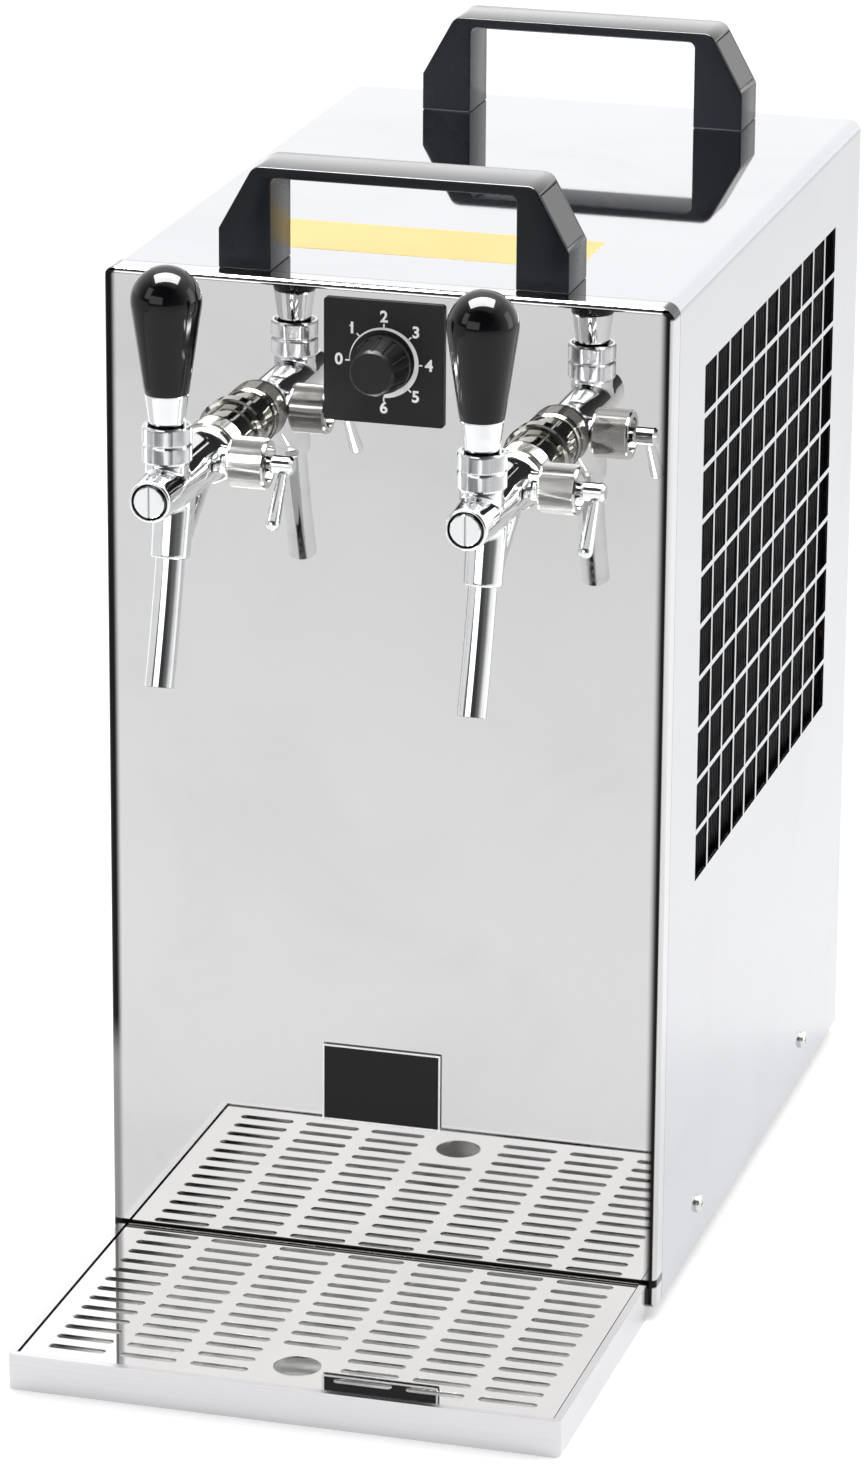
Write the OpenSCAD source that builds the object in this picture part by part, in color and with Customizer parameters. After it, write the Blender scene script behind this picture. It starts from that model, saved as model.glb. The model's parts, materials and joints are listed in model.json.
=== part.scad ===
// Counter-top beer cooler: a folded steel cabinet with two compensator taps,
// two carry handles, a thermostat, a drip tray and a dry cooling system.
// Millimetres, +Z up, front towards -Y, origin on the floor at the middle of the box.

/* [Cabinet] */
// Outside width of the cabinet
cabinet_w = 260; // [250:1:300]
// Depth from the front of the front panel to the back of the rear panel
cabinet_d = 380; // [370:1:430]
// Height of the cabinet above its feet
cabinet_h = 469; // [455:1:520]
// Height of the rubber feet
foot_h = 5; // [3:0.5:12]
// Radius of a rubber foot
foot_r = 11; // [8:0.5:14]
// Thickness of the steel sheet
sheet = 1; // [0.8:0.1:1.5]
// Outside radius of the folds between the top and the sides
fold_r = 6; // [4:0.5:9]
// Outside radius along the front panel's edges
edge_r = 3; // [2:0.25:3.5]
// Depth of the front panel's folded edge
panel_d = 12; // [8:1:20]
// Height of the base pan's upturned edge
pan_h = 36; // [30:1:60]

/* [Side grille] */
// Columns of holes in a grille
grille_columns = 11; // [9:1:11]
// Rows of holes in a grille
grille_rows = 10; // [9:1:10]
// Side of one square hole
grille_hole = 22; // [20:0.5:22]
// Width of the bars between holes
grille_bar = 2.5; // [2:0.25:3]
// Distance from the front panel to the first column
grille_front = 61; // [55:1:75]
// Distance from the cabinet's top to the first row
grille_drop = 41; // [35:1:60]

/* [Carry handles] */
// Width of a handle over its feet
handle_w = 160; // [140:1:180]
// Height of a handle
handle_h = 47; // [40:1:60]
// Depth of a handle from front to back
handle_d = 31; // [24:1:40]
// Width of the finger gap
handle_gap = 112; // [100:1:120]
// Thickness of the grip bar
handle_bar = 5; // [4:0.5:8]
// Height of the upright lower part of a handle's legs
handle_knee = 18; // [12:1:22]
// Width taken in by the sloped part of a leg
handle_slope = 16; // [10:1:18]
// Distance from the cabinet's front and back to the handles
handle_inset = 11; // [8:0.5:30]

/* [Thermostat] */
// Width of the scale plate
scale_w = 55; // [48:1:70]
// Height of the scale plate
scale_h = 55.5; // [48:0.5:70]
// Thickness of the scale plate
scale_t = 1.6; // [1:0.1:3]
// Distance from the cabinet's top to the scale plate
scale_drop = 6; // [5:0.5:12]
// Radius of the knob at its skirt
knob_r = 13; // [11:0.5:16]
// Radius of the knob at its front
knob_tip_r = 10.4; // [8:0.2:11]
// Length of the knob
knob_l = 19; // [14:0.5:24]
// Radius of the thermostat's shaft
dial_shaft_r = 3; // [2.5:0.25:3.5]

/* [Name plate] */
// Width of the blank name plate
name_w = 56; // [40:1:80]
// Height of the blank name plate
name_h = 37; // [25:1:50]
// Thickness of the blank name plate
name_t = 1.2; // [0.8:0.1:2]
// Height of the name plate's lower edge above the floor
name_z = 80; // [60:1:110]

/* [Drip tray] */
// Width of the drip tray
tray_w = 253; // [242:1:256]
// Depth of the drip tray
tray_d = 156.5; // [150:0.5:170]
// Height of the drip tray
tray_h = 17; // [15:0.5:25]
// Width of the tray's folded rim
tray_rim = 3.5; // [2:0.25:5]
// Slots across the drip grid
slot_columns = 7; // [5:2:7]
// Slots from front to back
slot_rows = 13; // [9:1:13]
// Length of a slot
slot_l = 26.5; // [18:0.5:28]
// Width of a slot
slot_w = 4.5; // [3:0.25:5]
// Distance between neighbouring slot columns
slot_pitch_x = 33; // [30:0.5:33.5]
// Distance between neighbouring slot rows
slot_pitch_y = 11.1; // [8:0.1:11.2]
// Radius of the grid's finger hole
finger_r = 10.7; // [8:0.1:11]

/* [Taps] */
// Distance between the two taps
tap_spacing = 140; // [132:1:150]
// Distance from the cabinet's top to the taps' axis
tap_drop = 71; // [66:1:90]
// Radius of the flange against the front panel
flange_r = 15.5; // [14:0.5:18]
// Radius of the shank's thread
shank_r = 10.4; // [9:0.2:11]
// Radius of the union nut
union_r = 13.8; // [13.4:0.2:15]
// Distance from the front panel to the tap's upright axis
lever_reach = 93; // [90:0.5:98]
// Distance from the front panel to the compensator's axis
comp_reach = 46; // [45.5:0.25:48]
// Distance from the front panel to the front of the tap body
body_reach = 118; // [115:0.5:124]
// Radius of the tap body's barrel
barrel_r = 10.5; // [10:0.1:11]
// Radius of the knurled collars round the lever
collar_r = 10.9; // [10.4:0.1:11.6]
// Forward lean of the outlet below the body, in degrees
outlet_lean = 14; // [8:1:16]
// Outside radius of the spout
spout_r = 6.4; // [5.5:0.05:6.6]
// Length of the spout below its socket
spout_l = 56; // [40:1:70]
// Further forward bend of the spout, in degrees
spout_bend = 6; // [2:0.5:10]
// Largest radius of the tap handle
grip_r = 15.5; // [13:0.25:18]
// Radius of the tap handle at its lower end
grip_foot_r = 9.75; // [9:0.25:11]
// Length of the black tap handle
grip_l = 56; // [45:1:70]
// Radius of the knurled compensator sleeve
sleeve_r = 11.2; // [10.5:0.1:12]
// Length of the compensator's lever from its axis
comp_lever_l = 31; // [24:0.5:36]
// Forward lean of the compensator's lever from straight down, in degrees
comp_lean = 39; // [10:1:60]

/* [Cooling system] */
// Depth of the condenser from its face to its back
condenser_t = 34; // [28:1:38]
// Number of condenser fins
fin_count = 35; // [20:1:40]
// Radius of the condenser's fan
fan_r = 92; // [70:1:100]
// Number of fan blades
fan_blades = 7; // [3:1:7]
// Radius of the compressor's shell
compressor_r = 62; // [50:1:66]
// Height of the compressor's shell
compressor_h = 138; // [110:1:140]
// Width of the insulated cooling block
jacket_w = 140; // [126:1:146]
// Depth of the insulated cooling block
jacket_d = 112; // [90:1:116]
// Distance from the taps' axis down to the top of the insulated cooling block
jacket_room = 47; // [40:1:100]
// Thickness of the insulation
jacket_t = 18; // [10:1:24]
// Height of the drink inlets above the floor
inlet_z = 210; // [200:1:260]
// Radius of the tube that a drink inlet takes
inlet_tube_r = 4.8; // [3:0.1:5]

/* [Hidden] */
$fn = 64;
// Gap between parts that are only laid together
fit = 0.2;
// Gap between parts that turn or slide past each other
run = 0.3;
// Gap of a shaft in its bore
shaft_fit = 0.05;

// Turn that keeps the start of a turned face away from where other faces meet it
seam = 40;
// Swelling of a tube at a bend
bend_swell = 0.3;
// Length that the drink inlets stand out behind the rear panel
inlet_out = 18;
// Gap between the drip tray and the front panel
tray_gap = 0.5;
// Front plane of the front panel, set so that the whole box is centred on the origin
front_y = (tray_gap + tray_d - cabinet_d - inlet_out) / 2;
back_y = front_y + cabinet_d;
top_z = foot_h + cabinet_h;
side_x = cabinet_w / 2;
inner_x = side_x - sheet;
cover_y = front_y + panel_d + run;
floor_z = foot_h + sheet;
foot_in_x = 30;
foot_in_y = 38;
foot_bevel = 1.5;

grille_pitch = grille_hole + grille_bar;
grille_l = grille_columns * grille_pitch - grille_bar;
grille_h = grille_rows * grille_pitch - grille_bar;
grille_y = front_y + grille_front;
grille_z = top_z - grille_drop - grille_h;

// Cover screws, at the same height in the cover and in the base pan
screw_z = foot_h + 19.5;
screw_r = 2;
screw_l = 8;
screw_head_r = 4.2;
screw_head_h = 2;
screw_dome = 1.4;
screw_places = [front_y + 80, back_y - 81];

dial_z = top_z - scale_drop - scale_h / 2;
tap_z = top_z - tap_drop;
knob_gap = 0.6;

handle_cap_t = 2;
handle_cap_head = 5;
handle_cap_foot = 2.5;
handle_cap_side = 2;
handle_front_y = front_y + handle_inset;
handle_rear_y = back_y - handle_inset - handle_d;

// Drip grid, a folded lid that stands on the tray's floor
tray_back_y = front_y - tray_gap;
tray_y = tray_back_y - tray_d;
tray_corner = 3;
rim_t = 1.6;
grid_drop = 0.8;
grid_play = 0.8;
grid_w = tray_w - 2 * tray_rim - 2 * grid_play;
grid_d = tray_d - tray_rim - sheet - 2 * grid_play;
grid_y = tray_y + tray_rim + grid_play;
grid_back_y = grid_y + grid_d;
grid_z = tray_h - grid_drop;
slot_back = 5.8;
// Rows counted back from the front to the finger hole, and rows that it takes up
finger_row = 1.9;
finger_rows = 3;

// Tap: distances forward of the front panel, and heights above the tap's axis
flange_t = 5;
union_back = 21;
union_front = 38;
union_lip = 2;
union_gap = 0.3;
tail_flange_t = 4;
tail_back = union_front - union_lip - tail_flange_t;
tail_r = 9;
shank_tail = 34;
shank_bore_r = 4.5;
shank_step_r = flange_r - 3;
shank_nut_t = 7;
shank_nut_r = shank_r + 6.6;
thread_r = union_r - 2.4;
bell_t = 2.7;
bell_r = union_r - 1;
bell_fade = 10;
nose_r = barrel_r - 1.1;
nose_l = 18;
nose_round = 1;
plug_r = nose_r - 1.7;
plug_l = 6;
plug_proud = 0.6;
plug_slot = 0.9;
plug_ring = 0.9;
plug_ring_d = 1.4;
chamber_r = plug_r + fit;
inlet_bore_r = 6.6;
seat_r = 4.2;
seat_l = 4;
seat_reach = lever_reach - 22;
neck_top = 12;
neck_r = collar_r - 1.4;
neck_thread_r = neck_r - 0.9;
neck_thread_l = 4;
pivot_z = 8;
pivot_ball_r = 3.2;
collar_edge = 19.5;
dome_r = norm([collar_r, collar_edge - pivot_z]);
collar_top = 28;
collar_recess_r = collar_r - 1.6;
collar_recess = 2;
collar_bevel = 0.5;
lever_r = 2;
lever_end_r = 2.6;
lever_swing = 30;
lever_top = 52;
ferrule_top = 42;
ferrule_foot_r = 7.6;
grip_taper = 8;
guide_back = 5;
guide_front = 13;
valve_travel = pivot_z * sin(lever_swing);
seal_r = 6;
seal_l = 5;
valve_rod_r = 2.5;
outlet_cross = lever_reach - 11.7;
socket_l = 34;
socket_top_r = barrel_r - 1.2;
// Sloping web under the barrel, behind the outlet
web_r = barrel_r - 1.3;
web_foot_r = 8;
web_from = [0, 26 - outlet_cross, -1];
web_to = [0, -2 - outlet_cross, -23];
socket_r = spout_r + 2.1;
outlet_bore_r = 4.2;
spout_seat = 12;
spout_wall = 1;
spout_curve = spout_l / (spout_bend * PI / 180);
boss_r = comp_reach - union_front - 1.4;
boss_end = union_r + 0.6;
sleeve_end = boss_end + 16.8;
sleeve_recess_r = 8;
sleeve_recess = 1.5;
stem_r = 3.2;
stem_in = sqrt(inlet_bore_r * inlet_bore_r - stem_r * stem_r) - run;
stem_neck = sleeve_end + 0.6;
stem_end = sleeve_end + 11.3;
stem_bulb = 4.3;
comp_lever_x = sleeve_end + 7;
comp_lever_seat_r = 1.8;
comp_lever_root_r = 2.1;
comp_lever_tip_r = 3.3;

// Cooling system
condenser_x = inner_x - 3 - condenser_t;
condenser_margin = 5;
condenser_y = grille_y - condenser_margin;
condenser_z = grille_z - condenser_margin;
condenser_l = grille_l + 2 * condenser_margin;
condenser_h = grille_h + 2 * condenser_margin;
condenser_back_y = condenser_y + condenser_l;
coil_x = condenser_x + condenser_t / 2;
coil_out = 8;
coil_r = 4;
coil_rows = 8;
coil_pitch = condenser_h / coil_rows;
coil_first_z = condenser_z + coil_pitch / 2;
coil_last_z = condenser_z + condenser_h - coil_pitch / 2;
fin_t = 0.8;
shroud_t = 1.5;
shroud_x = condenser_x - shroud_t;
shroud_lip = 3;
shroud_leg = 30;
shroud_foot = 14;
duct_l = 16;
fan_y = grille_y + grille_l / 2;
fan_z = grille_z + grille_h / 2;
fan_clear = 3;
duct_r = fan_r + fan_clear;
fan_shaft_r = 3;
fan_hub_r = 24;
fan_hub_l = 14;
fan_chord = 34;
fan_pitch = 22;
fan_blade_t = 2;
motor_r = 30;
motor_l = 34;
motor_arm_t = 3;
motor_arm_w = 14;
motor_nest = 1;
motor_x = shroud_x - duct_l - motor_arm_t;
jacket_x = -inner_x + 9;
jacket_y = front_y + 40;
jacket_back_y = jacket_y + jacket_d;
jacket_mid_x = jacket_x + jacket_w / 2;
jacket_h = tap_z - jacket_room - floor_z;
block_drop = 2;
block_top_z = floor_z + jacket_h - block_drop;
block_back_y = jacket_back_y - jacket_t - fit;
compressor_x = -2;
compressor_y = back_y - 24 - compressor_r;
compressor_plate_t = 2.5;
grommet_h = 10;
grommet_in_x = 3;
grommet_in_y = 16;
compressor_z = floor_z + grommet_h + compressor_plate_t;
port_x = 28;
port_top_z = compressor_z + compressor_h + 12;
grommet_r = 9;
hose_r = 5;
hose_bend = 16;
hose_in = 18;
hose_spread = 24;
inlet_x = [jacket_x + 32, jacket_x + 68];
inlet_flange_r = 11;
inlet_flange_t = 4;
inlet_body_r = 8.5;
inlet_nose_r = 9.5;
inlet_nose = 14;
inlet_thread = 14;
inlet_tail = 24;
inlet_bore_in = 4;
inlet_bore_out = 5;
collet_wall = 1.8;
collet_r = inlet_tube_r + collet_wall;
collet_travel = 1.5;
collet_lip = 1.3;
collet_lip_t = 1.2;
gland_x = 70;
gland_z = foot_h + pan_h + 24;
gland_hex_r = 12;
gland_hex_t = 5;
gland_nut_r = 10;
gland_out = 15;
gland_thread_r = 7.8;
gland_thread_l = 12;
gland_bore_r = 3.6;
gas_r = 3;
suction_r = 4.5;
capillary_r = 2;
probe_r = 1.5;
probe_x = 20;
probe_low = 8;
probe_in = 24;
drier_r = 9;
drier_l = 90;
drier_neck_r = gas_r + 1;
drier_cone = 12;
line_rise = 8;
line_low = 22;
line_slant = 20;
entry_in = 12;
entry_out = 16;
entry_high = 54;
drier_x = shroud_x - 8;
drier_top_z = coil_first_z - 40;
back_run_y = condenser_back_y + 2 * coil_out;
thermostat_w = 44;
thermostat_h = 36;
thermostat_d = 28;
dial_shaft_in = 18;
dial_shaft_out = 13;

// Points of a closed outline whose corners [x, y, radius] are rounded
function rounded(corners, steps = 6) = [for (i = [0:len(corners) - 1])
    let (n = len(corners),
         c = [corners[i][0], corners[i][1]],
         r = corners[i][2],
         a = [corners[(i + n - 1) % n][0], corners[(i + n - 1) % n][1]] - c,
         b = [corners[(i + 1) % n][0], corners[(i + 1) % n][1]] - c,
         ua = a / norm(a),
         ub = b / norm(b),
         half = acos(ua * ub) / 2,
         m = (ua + ub) / norm(ua + ub),
         centre = c + m * (r / sin(half)),
         from = c + ua * (r / tan(half)) - centre,
         sweep = 180 - 2 * half,
         turn = (ua[0] * ub[1] - ua[1] * ub[0]) > 0 ? -1 : 1)
    each r == 0 ? [c] : [for (k = [0:steps]) let (t = turn * sweep * k / steps)
        centre + [from[0] * cos(t) - from[1] * sin(t), from[0] * sin(t) + from[1] * cos(t)]]];

// Extrudes a drawing of X and Z from one depth to another
module along_y(from, to) {
    translate([0, to, 0]) rotate([90, 0, 0]) linear_extrude(to - from) children();
}

// Extrudes a drawing of Y and Z from one width to another
module along_x(from, to) {
    translate([from, 0, 0]) rotate([90, 0, 90]) linear_extrude(to - from) children();
}

// Drawing with a flat foot and two rounded upper corners
module arch(w, h, r) {
    translate([-w / 2, 0]) square([w, h - r]);
    translate([-w / 2 + r, 0]) square([w - 2 * r, h]);
    for (s = [-1, 1]) translate([s * (w / 2 - r), h - r]) circle(r);
}

// Drawing with all four corners rounded, centred on the origin
module soft_square(w, h, r) {
    square([w - 2 * r, h], center = true);
    square([w, h - 2 * r], center = true);
    for (x = [-1, 1], y = [-1, 1]) translate([x * (w / 2 - r), y * (h / 2 - r)]) circle(r);
}

// Slot with round ends, along X
module slot(l, w) {
    square([l - w, w], center = true);
    for (s = [-1, 1]) translate([s * (l - w) / 2, 0]) circle(d = w, $fn = 32);
}

// Solid turned about the Y axis from a drawing of radius and distance towards the front
module turned_forward() {
    rotate([90, 0, 0]) rotate(seam) rotate_extrude() children();
}

// Solid turned about the X axis from a drawing of radius and distance along X
module turned_sideways() {
    rotate([90, 0, 90]) rotate_extrude() children();
}

// Round rod from one point to another
module rod(a, b, r) {
    cone(a, b, r, r, $fn = 32);
}

module cone(a, b, r_a, r_b) {
    d = b - a;
    translate(a)
        rotate([0, acos(d[2] / norm(d)), atan2(d[1], d[0])])
            cylinder(h = norm(d), r1 = r_a, r2 = r_b);
}

// Bent tube through a list of points
module tube(points, r) {
    for (i = [0:len(points) - 2]) rod(points[i], points[i + 1], r);
    for (i = [1:1:len(points) - 2]) translate(points[i]) sphere(r + bend_swell, $fn = 32);
}

// Cabinet

module base_pan() {
    w = 2 * inner_x - 2 * fit;
    y0 = front_y + sheet;
    d = cabinet_d - 2 * sheet;
    color("silver") difference() {
        translate([-w / 2, y0, foot_h]) cube([w, d, pan_h]);
        translate([-w / 2 + sheet, y0 + sheet, floor_z]) cube([w - 2 * sheet, d - 2 * sheet, pan_h]);
        for (y = screw_places)
            translate([-side_x, y, screw_z]) rotate([0, 90, 0]) cylinder(h = cabinet_w, r = screw_r + fit);
    }
}

module feet() {
    color("black") for (x = [-1, 1], y = [front_y + foot_in_y, back_y - foot_in_y])
        translate([x * (side_x - foot_in_x), y, 0]) rotate_extrude() polygon([
            [0, 0], [foot_r - foot_bevel, 0], [foot_r, foot_bevel], [foot_r, foot_h], [0, foot_h]]);
}

module grille_holes() {
    for (c = [0:grille_columns - 1], r = [0:grille_rows - 1])
        translate([grille_y + c * grille_pitch, grille_z + r * grille_pitch]) square(grille_hole);
}

module cover() {
    color("gainsboro") difference() {
        along_y(cover_y, back_y) translate([0, foot_h]) difference() {
            arch(cabinet_w, cabinet_h, fold_r);
            translate([0, -sheet]) arch(cabinet_w - 2 * sheet, cabinet_h, fold_r - sheet);
        }
        for (x = [-side_x, inner_x])
            along_x(x - sheet, x + 2 * sheet) grille_holes();
        for (y = screw_places)
            translate([-side_x - 1, y, screw_z]) rotate([0, 90, 0])
                cylinder(h = cabinet_w + 2, r = screw_r + fit);
    }
}

module cover_screws() {
    color("silver") for (s = [0, 1], y = screw_places)
        mirror([s, 0, 0]) translate([side_x, y, screw_z]) turned_sideways()
            polygon([[0, -screw_l], [screw_r, -screw_l], [screw_r, 0], [screw_head_r, 0],
                     [screw_head_r, screw_head_h / 2], [screw_head_r - screw_dome, screw_head_h],
                     [0, screw_head_h]]);
}

// Block with rounded front edges, drawn in by an inset on every outer face
module panel_block(inset, depth) {
    w = cabinet_w - 2 * inset;
    h = cabinet_h - 2 * inset;
    r = edge_r - inset;
    y = front_y + inset;
    intersection() {
        along_y(y, front_y + depth) translate([0, foot_h + inset]) arch(w, h, fold_r - inset);
        along_x(-w / 2, w / 2) translate([y, foot_h + inset]) {
            translate([r, 0]) square([depth, h]);
            translate([0, r]) square([depth, h - 2 * r]);
            for (z = [r, h - r]) translate([r, z]) circle(r);
        }
        linear_extrude(top_z + 1) translate([0, y]) {
            translate([-w / 2, r]) square([w, depth]);
            translate([-w / 2 + r, 0]) square([w - 2 * r, depth]);
            for (s = [-1, 1]) translate([s * (w / 2 - r), r]) circle(r);
        }
    }
}

module front_panel() {
    color("lightgray") difference() {
        panel_block(0, panel_d);
        panel_block(sheet, panel_d + 1);
        for (s = [-1, 1])
            translate([s * tap_spacing / 2, front_y + panel_d, tap_z]) rotate([90, 0, 0])
                cylinder(h = 2 * panel_d, r = shank_r + fit);
        translate([0, front_y + panel_d, dial_z]) rotate([90, 0, 0])
            cylinder(h = 2 * panel_d, r = dial_shaft_r + 1);
        // Room at the foot for the base pan's edges
        translate([-inner_x, front_y + sheet, foot_h - 1]) cube([2 * inner_x, panel_d, pan_h + 1]);
    }
}

module rear_panel() {
    w = 2 * inner_x - 2 * fit;
    h = cabinet_h - sheet - fit;
    fold_z = pan_h + fit;
    fold_d = 12;
    vent_l = 60;
    vent_w = 5;
    vent_pitch = 12;
    vent_drop = 70;
    vent_x = 50;
    color("lightgray") difference() {
        translate([0, 0, foot_h]) union() {
            along_y(back_y - sheet, back_y) arch(w, h, fold_r - sheet);
            along_y(back_y - fold_d, back_y) translate([0, fold_z]) difference() {
                arch(w, h - fold_z, fold_r - sheet);
                translate([0, -sheet]) arch(w - 2 * sheet, h - fold_z, fold_r - 2 * sheet);
            }
        }
        for (x = inlet_x) translate([x, back_y + sheet, inlet_z]) rotate([90, 0, 0])
            cylinder(h = 4 * sheet, r = inlet_body_r + fit);
        translate([gland_x, back_y + sheet, gland_z]) rotate([90, 0, 0])
            cylinder(h = 4 * sheet, r = gland_thread_r + fit);
        for (c = [-1, 1], i = [0:5])
            along_y(back_y - 2 * sheet, back_y + 1)
                translate([c * vent_x, top_z - vent_drop - i * vent_pitch]) slot(vent_l, vent_w);
    }
}

// Carry handles

function handle_outline() = rounded([
    [-handle_w / 2, 0, 0],
    [-handle_w / 2, handle_knee, 2],
    [-handle_w / 2 + handle_slope, handle_h, 6],
    [handle_w / 2 - handle_slope, handle_h, 6],
    [handle_w / 2, handle_knee, 2],
    [handle_w / 2, 0, 0]]);

module handle_window() {
    polygon(rounded([
        [-handle_gap / 2, -1, 0],
        [-handle_gap / 2, handle_h - handle_bar, 3],
        [handle_gap / 2, handle_h - handle_bar, 3],
        [handle_gap / 2, -1, 0]]));
}

// Cross-section of the cap let into the sloped outer face of the right leg
module handle_cap_section(gap, proud) {
    head = [handle_w / 2 - handle_slope, handle_h];
    foot = [handle_w / 2, handle_knee];
    u = (foot - head) / norm(foot - head);
    inward = [u[1], -u[0]];
    a = head + u * (handle_cap_head + gap);
    b = foot - u * (handle_cap_foot + gap);
    polygon([a - inward * proud, b - inward * proud,
        b + inward * handle_cap_t, a + inward * handle_cap_t]);
}

module handle_cap(y, gap, proud) {
    for (s = [0, 1]) mirror([s, 0, 0]) translate([0, 0, top_z])
        along_y(y + handle_cap_side + gap, y + handle_d - handle_cap_side - gap)
            handle_cap_section(gap, proud);
}

module carry_handle(y) {
    color("#202226") difference() {
        translate([0, 0, top_z]) along_y(y, y + handle_d) difference() {
            polygon(handle_outline());
            handle_window();
        }
        handle_cap(y, 0, 1);
    }
}

module carry_handle_front() { carry_handle(handle_front_y); }
module carry_handle_rear() { carry_handle(handle_rear_y); }

module handle_caps() {
    color("#2a2c30") for (y = [handle_front_y, handle_rear_y]) handle_cap(y, fit, 0);
}

// Thermostat and name plate

module thermostat_plate() {
    corner = 1.5;
    color("#1c1c1e") along_y(front_y - scale_t, front_y) translate([0, dial_z]) difference() {
        soft_square(scale_w, scale_h, corner);
        circle(dial_shaft_r + 1);
    }
}

module thermostat() {
    color("ivory") difference() {
        along_y(front_y + sheet, front_y + sheet + thermostat_d) translate([0, dial_z])
            square([thermostat_w, thermostat_h], center = true);
        translate([0, front_y + sheet + dial_shaft_in + run, dial_z]) rotate([90, 0, 0])
            cylinder(h = thermostat_d, r = dial_shaft_r + shaft_fit);
    }
}

module thermostat_shaft() {
    color("silver") translate([0, front_y + sheet + dial_shaft_in, dial_z]) rotate([90, 0, 0])
        cylinder(h = sheet + dial_shaft_in + scale_t + knob_gap + dial_shaft_out, r = dial_shaft_r);
}

module thermostat_knob() {
    skirt = 4;
    bevel = 1.2;
    flutes = 12;
    flute_r = 1.8;
    flute_in = 0.7;
    taper = atan((knob_r - knob_tip_r) / (knob_l - skirt));
    color("#161616") translate([0, front_y - scale_t - knob_gap, dial_z]) difference() {
        turned_forward() polygon([[0, 0], [knob_r - 0.5, 0], [knob_r, 0.5], [knob_r, skirt],
            [knob_tip_r, knob_l - bevel], [knob_tip_r - bevel, knob_l], [0, knob_l]]);
        rotate([90, 0, 0]) for (i = [0:flutes - 1])
            rotate(i * 360 / flutes) translate([knob_r + flute_r - flute_in, 0, skirt + 1])
                rotate([0, -taper, 0]) cylinder(h = knob_l, r = flute_r, $fn = 32);
        translate([0, 1, 0]) rotate([90, 0, 0])
            cylinder(h = dial_shaft_out + 1, r = dial_shaft_r + shaft_fit);
    }
}

module thermostat_probe() {
    start_z = dial_z - probe_low;
    drop_y = block_back_y - probe_in;
    color("peru") tube([[-probe_x, front_y + sheet + thermostat_d, start_z],
        [-probe_x, drop_y, start_z], [-probe_x, drop_y, block_top_z]], probe_r);
}

module name_plate() {
    corner = 2;
    color("#141416") along_y(front_y - name_t, front_y) translate([0, name_z + name_h / 2])
        soft_square(name_w, name_h, corner);
}

// Drip tray

module drip_tray() {
    mid_y = tray_y + tray_d / 2;
    color("silver") difference() {
        translate([0, mid_y, 0]) linear_extrude(tray_h) soft_square(tray_w, tray_d, tray_corner);
        translate([0, mid_y, sheet]) linear_extrude(tray_h - rim_t - sheet)
            soft_square(tray_w - 2 * sheet, tray_d - 2 * sheet, tray_corner - sheet);
        translate([tray_rim - tray_w / 2, tray_y + tray_rim, sheet])
            cube([tray_w - 2 * tray_rim, tray_d - tray_rim - sheet, tray_h]);
    }
}

module grid_slots() {
    middle = (slot_columns - 1) / 2;
    for (c = [0:slot_columns - 1], r = [0:slot_rows - 1])
        if (c != middle || r < slot_rows - finger_rows)
            translate([(c - middle) * slot_pitch_x, grid_back_y - slot_back - r * slot_pitch_y])
                slot(slot_l, slot_w);
    translate([0, grid_back_y - slot_back - (slot_rows - finger_row) * slot_pitch_y]) circle(finger_r);
}

module drip_grid() {
    color("gainsboro") union() {
        translate([0, 0, grid_z - sheet]) linear_extrude(sheet) difference() {
            translate([-grid_w / 2, grid_y]) square([grid_w, grid_d]);
            grid_slots();
        }
        translate([0, 0, sheet]) linear_extrude(grid_z - sheet) difference() {
            translate([-grid_w / 2, grid_y]) square([grid_w, grid_d]);
            translate([sheet - grid_w / 2, grid_y + sheet])
                square([grid_w - 2 * sheet, grid_d - 2 * sheet]);
        }
    }
}

// Taps: each piece is drawn round the point where the tap's axis meets the front panel

module at_tap(s) {
    translate([s * tap_spacing / 2, front_y, tap_z]) children();
}

module at_taps() {
    for (s = [-1, 1]) at_tap(s) children();
}

module shank() {
    color("silver") turned_forward() polygon([
        [shank_bore_r, -shank_tail], [shank_r, -shank_tail], [shank_r, 0], [flange_r, 0],
        [flange_r, flange_t - 2], [flange_r - 0.6, flange_t - 0.6], [flange_r - 2, flange_t],
        [shank_step_r, flange_t], [shank_step_r, union_back - union_gap - 0.5],
        [shank_step_r - 0.5, union_back - union_gap], [thread_r, union_back - union_gap],
        [thread_r, tail_back], [shank_bore_r, tail_back]]);
}

module shank_nuts() {
    color("goldenrod") at_taps() translate([0, sheet + shank_nut_t, 0]) rotate([90, 0, 0]) difference() {
        cylinder(h = shank_nut_t, r = shank_nut_r, $fn = 6);
        translate([0, 0, -1]) cylinder(h = shank_nut_t + 2, r = shank_r + fit);
    }
}

module union_nuts() {
    holes = 6;
    hole_r = 1.5;
    hole_in = 1.4;
    bevel = 0.8;
    color("silver") at_taps() difference() {
        turned_forward() polygon([
            [thread_r + fit, union_back], [union_r - bevel, union_back], [union_r, union_back + bevel],
            [union_r, union_front - bevel], [union_r - bevel, union_front],
            [tail_r + fit, union_front], [tail_r + fit, union_front - union_lip],
            [thread_r + fit, union_front - union_lip]]);
        for (i = [0:holes - 1]) rotate([0, i * 360 / holes, 0])
            translate([union_r - hole_in, -(union_back + union_front) / 2, 0]) rotate([0, 90, 0])
                cylinder(h = hole_in + 1, r = hole_r, $fn = 32);
    }
}

// Sweep of the lever from upright to fully forward, with its play
module lever_slot() {
    a = lever_swing + 1;
    s = lever_r + run;
    low = 5;
    top = pivot_z + dome_r + 2;
    translate([0, -lever_reach, 0]) along_x(-s, s) polygon([
        [(pivot_z - low) * tan(a) + s / cos(a), low], [s / cos(a), pivot_z], [s, pivot_z + s], [s, top],
        [-(top - pivot_z) * tan(a) - s / cos(a), top], [-s / cos(a), pivot_z], [-s, low]]);
}

module outlet_frame() {
    translate([0, -outlet_cross, 0]) rotate([-outlet_lean, 0, 0]) children();
}

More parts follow.
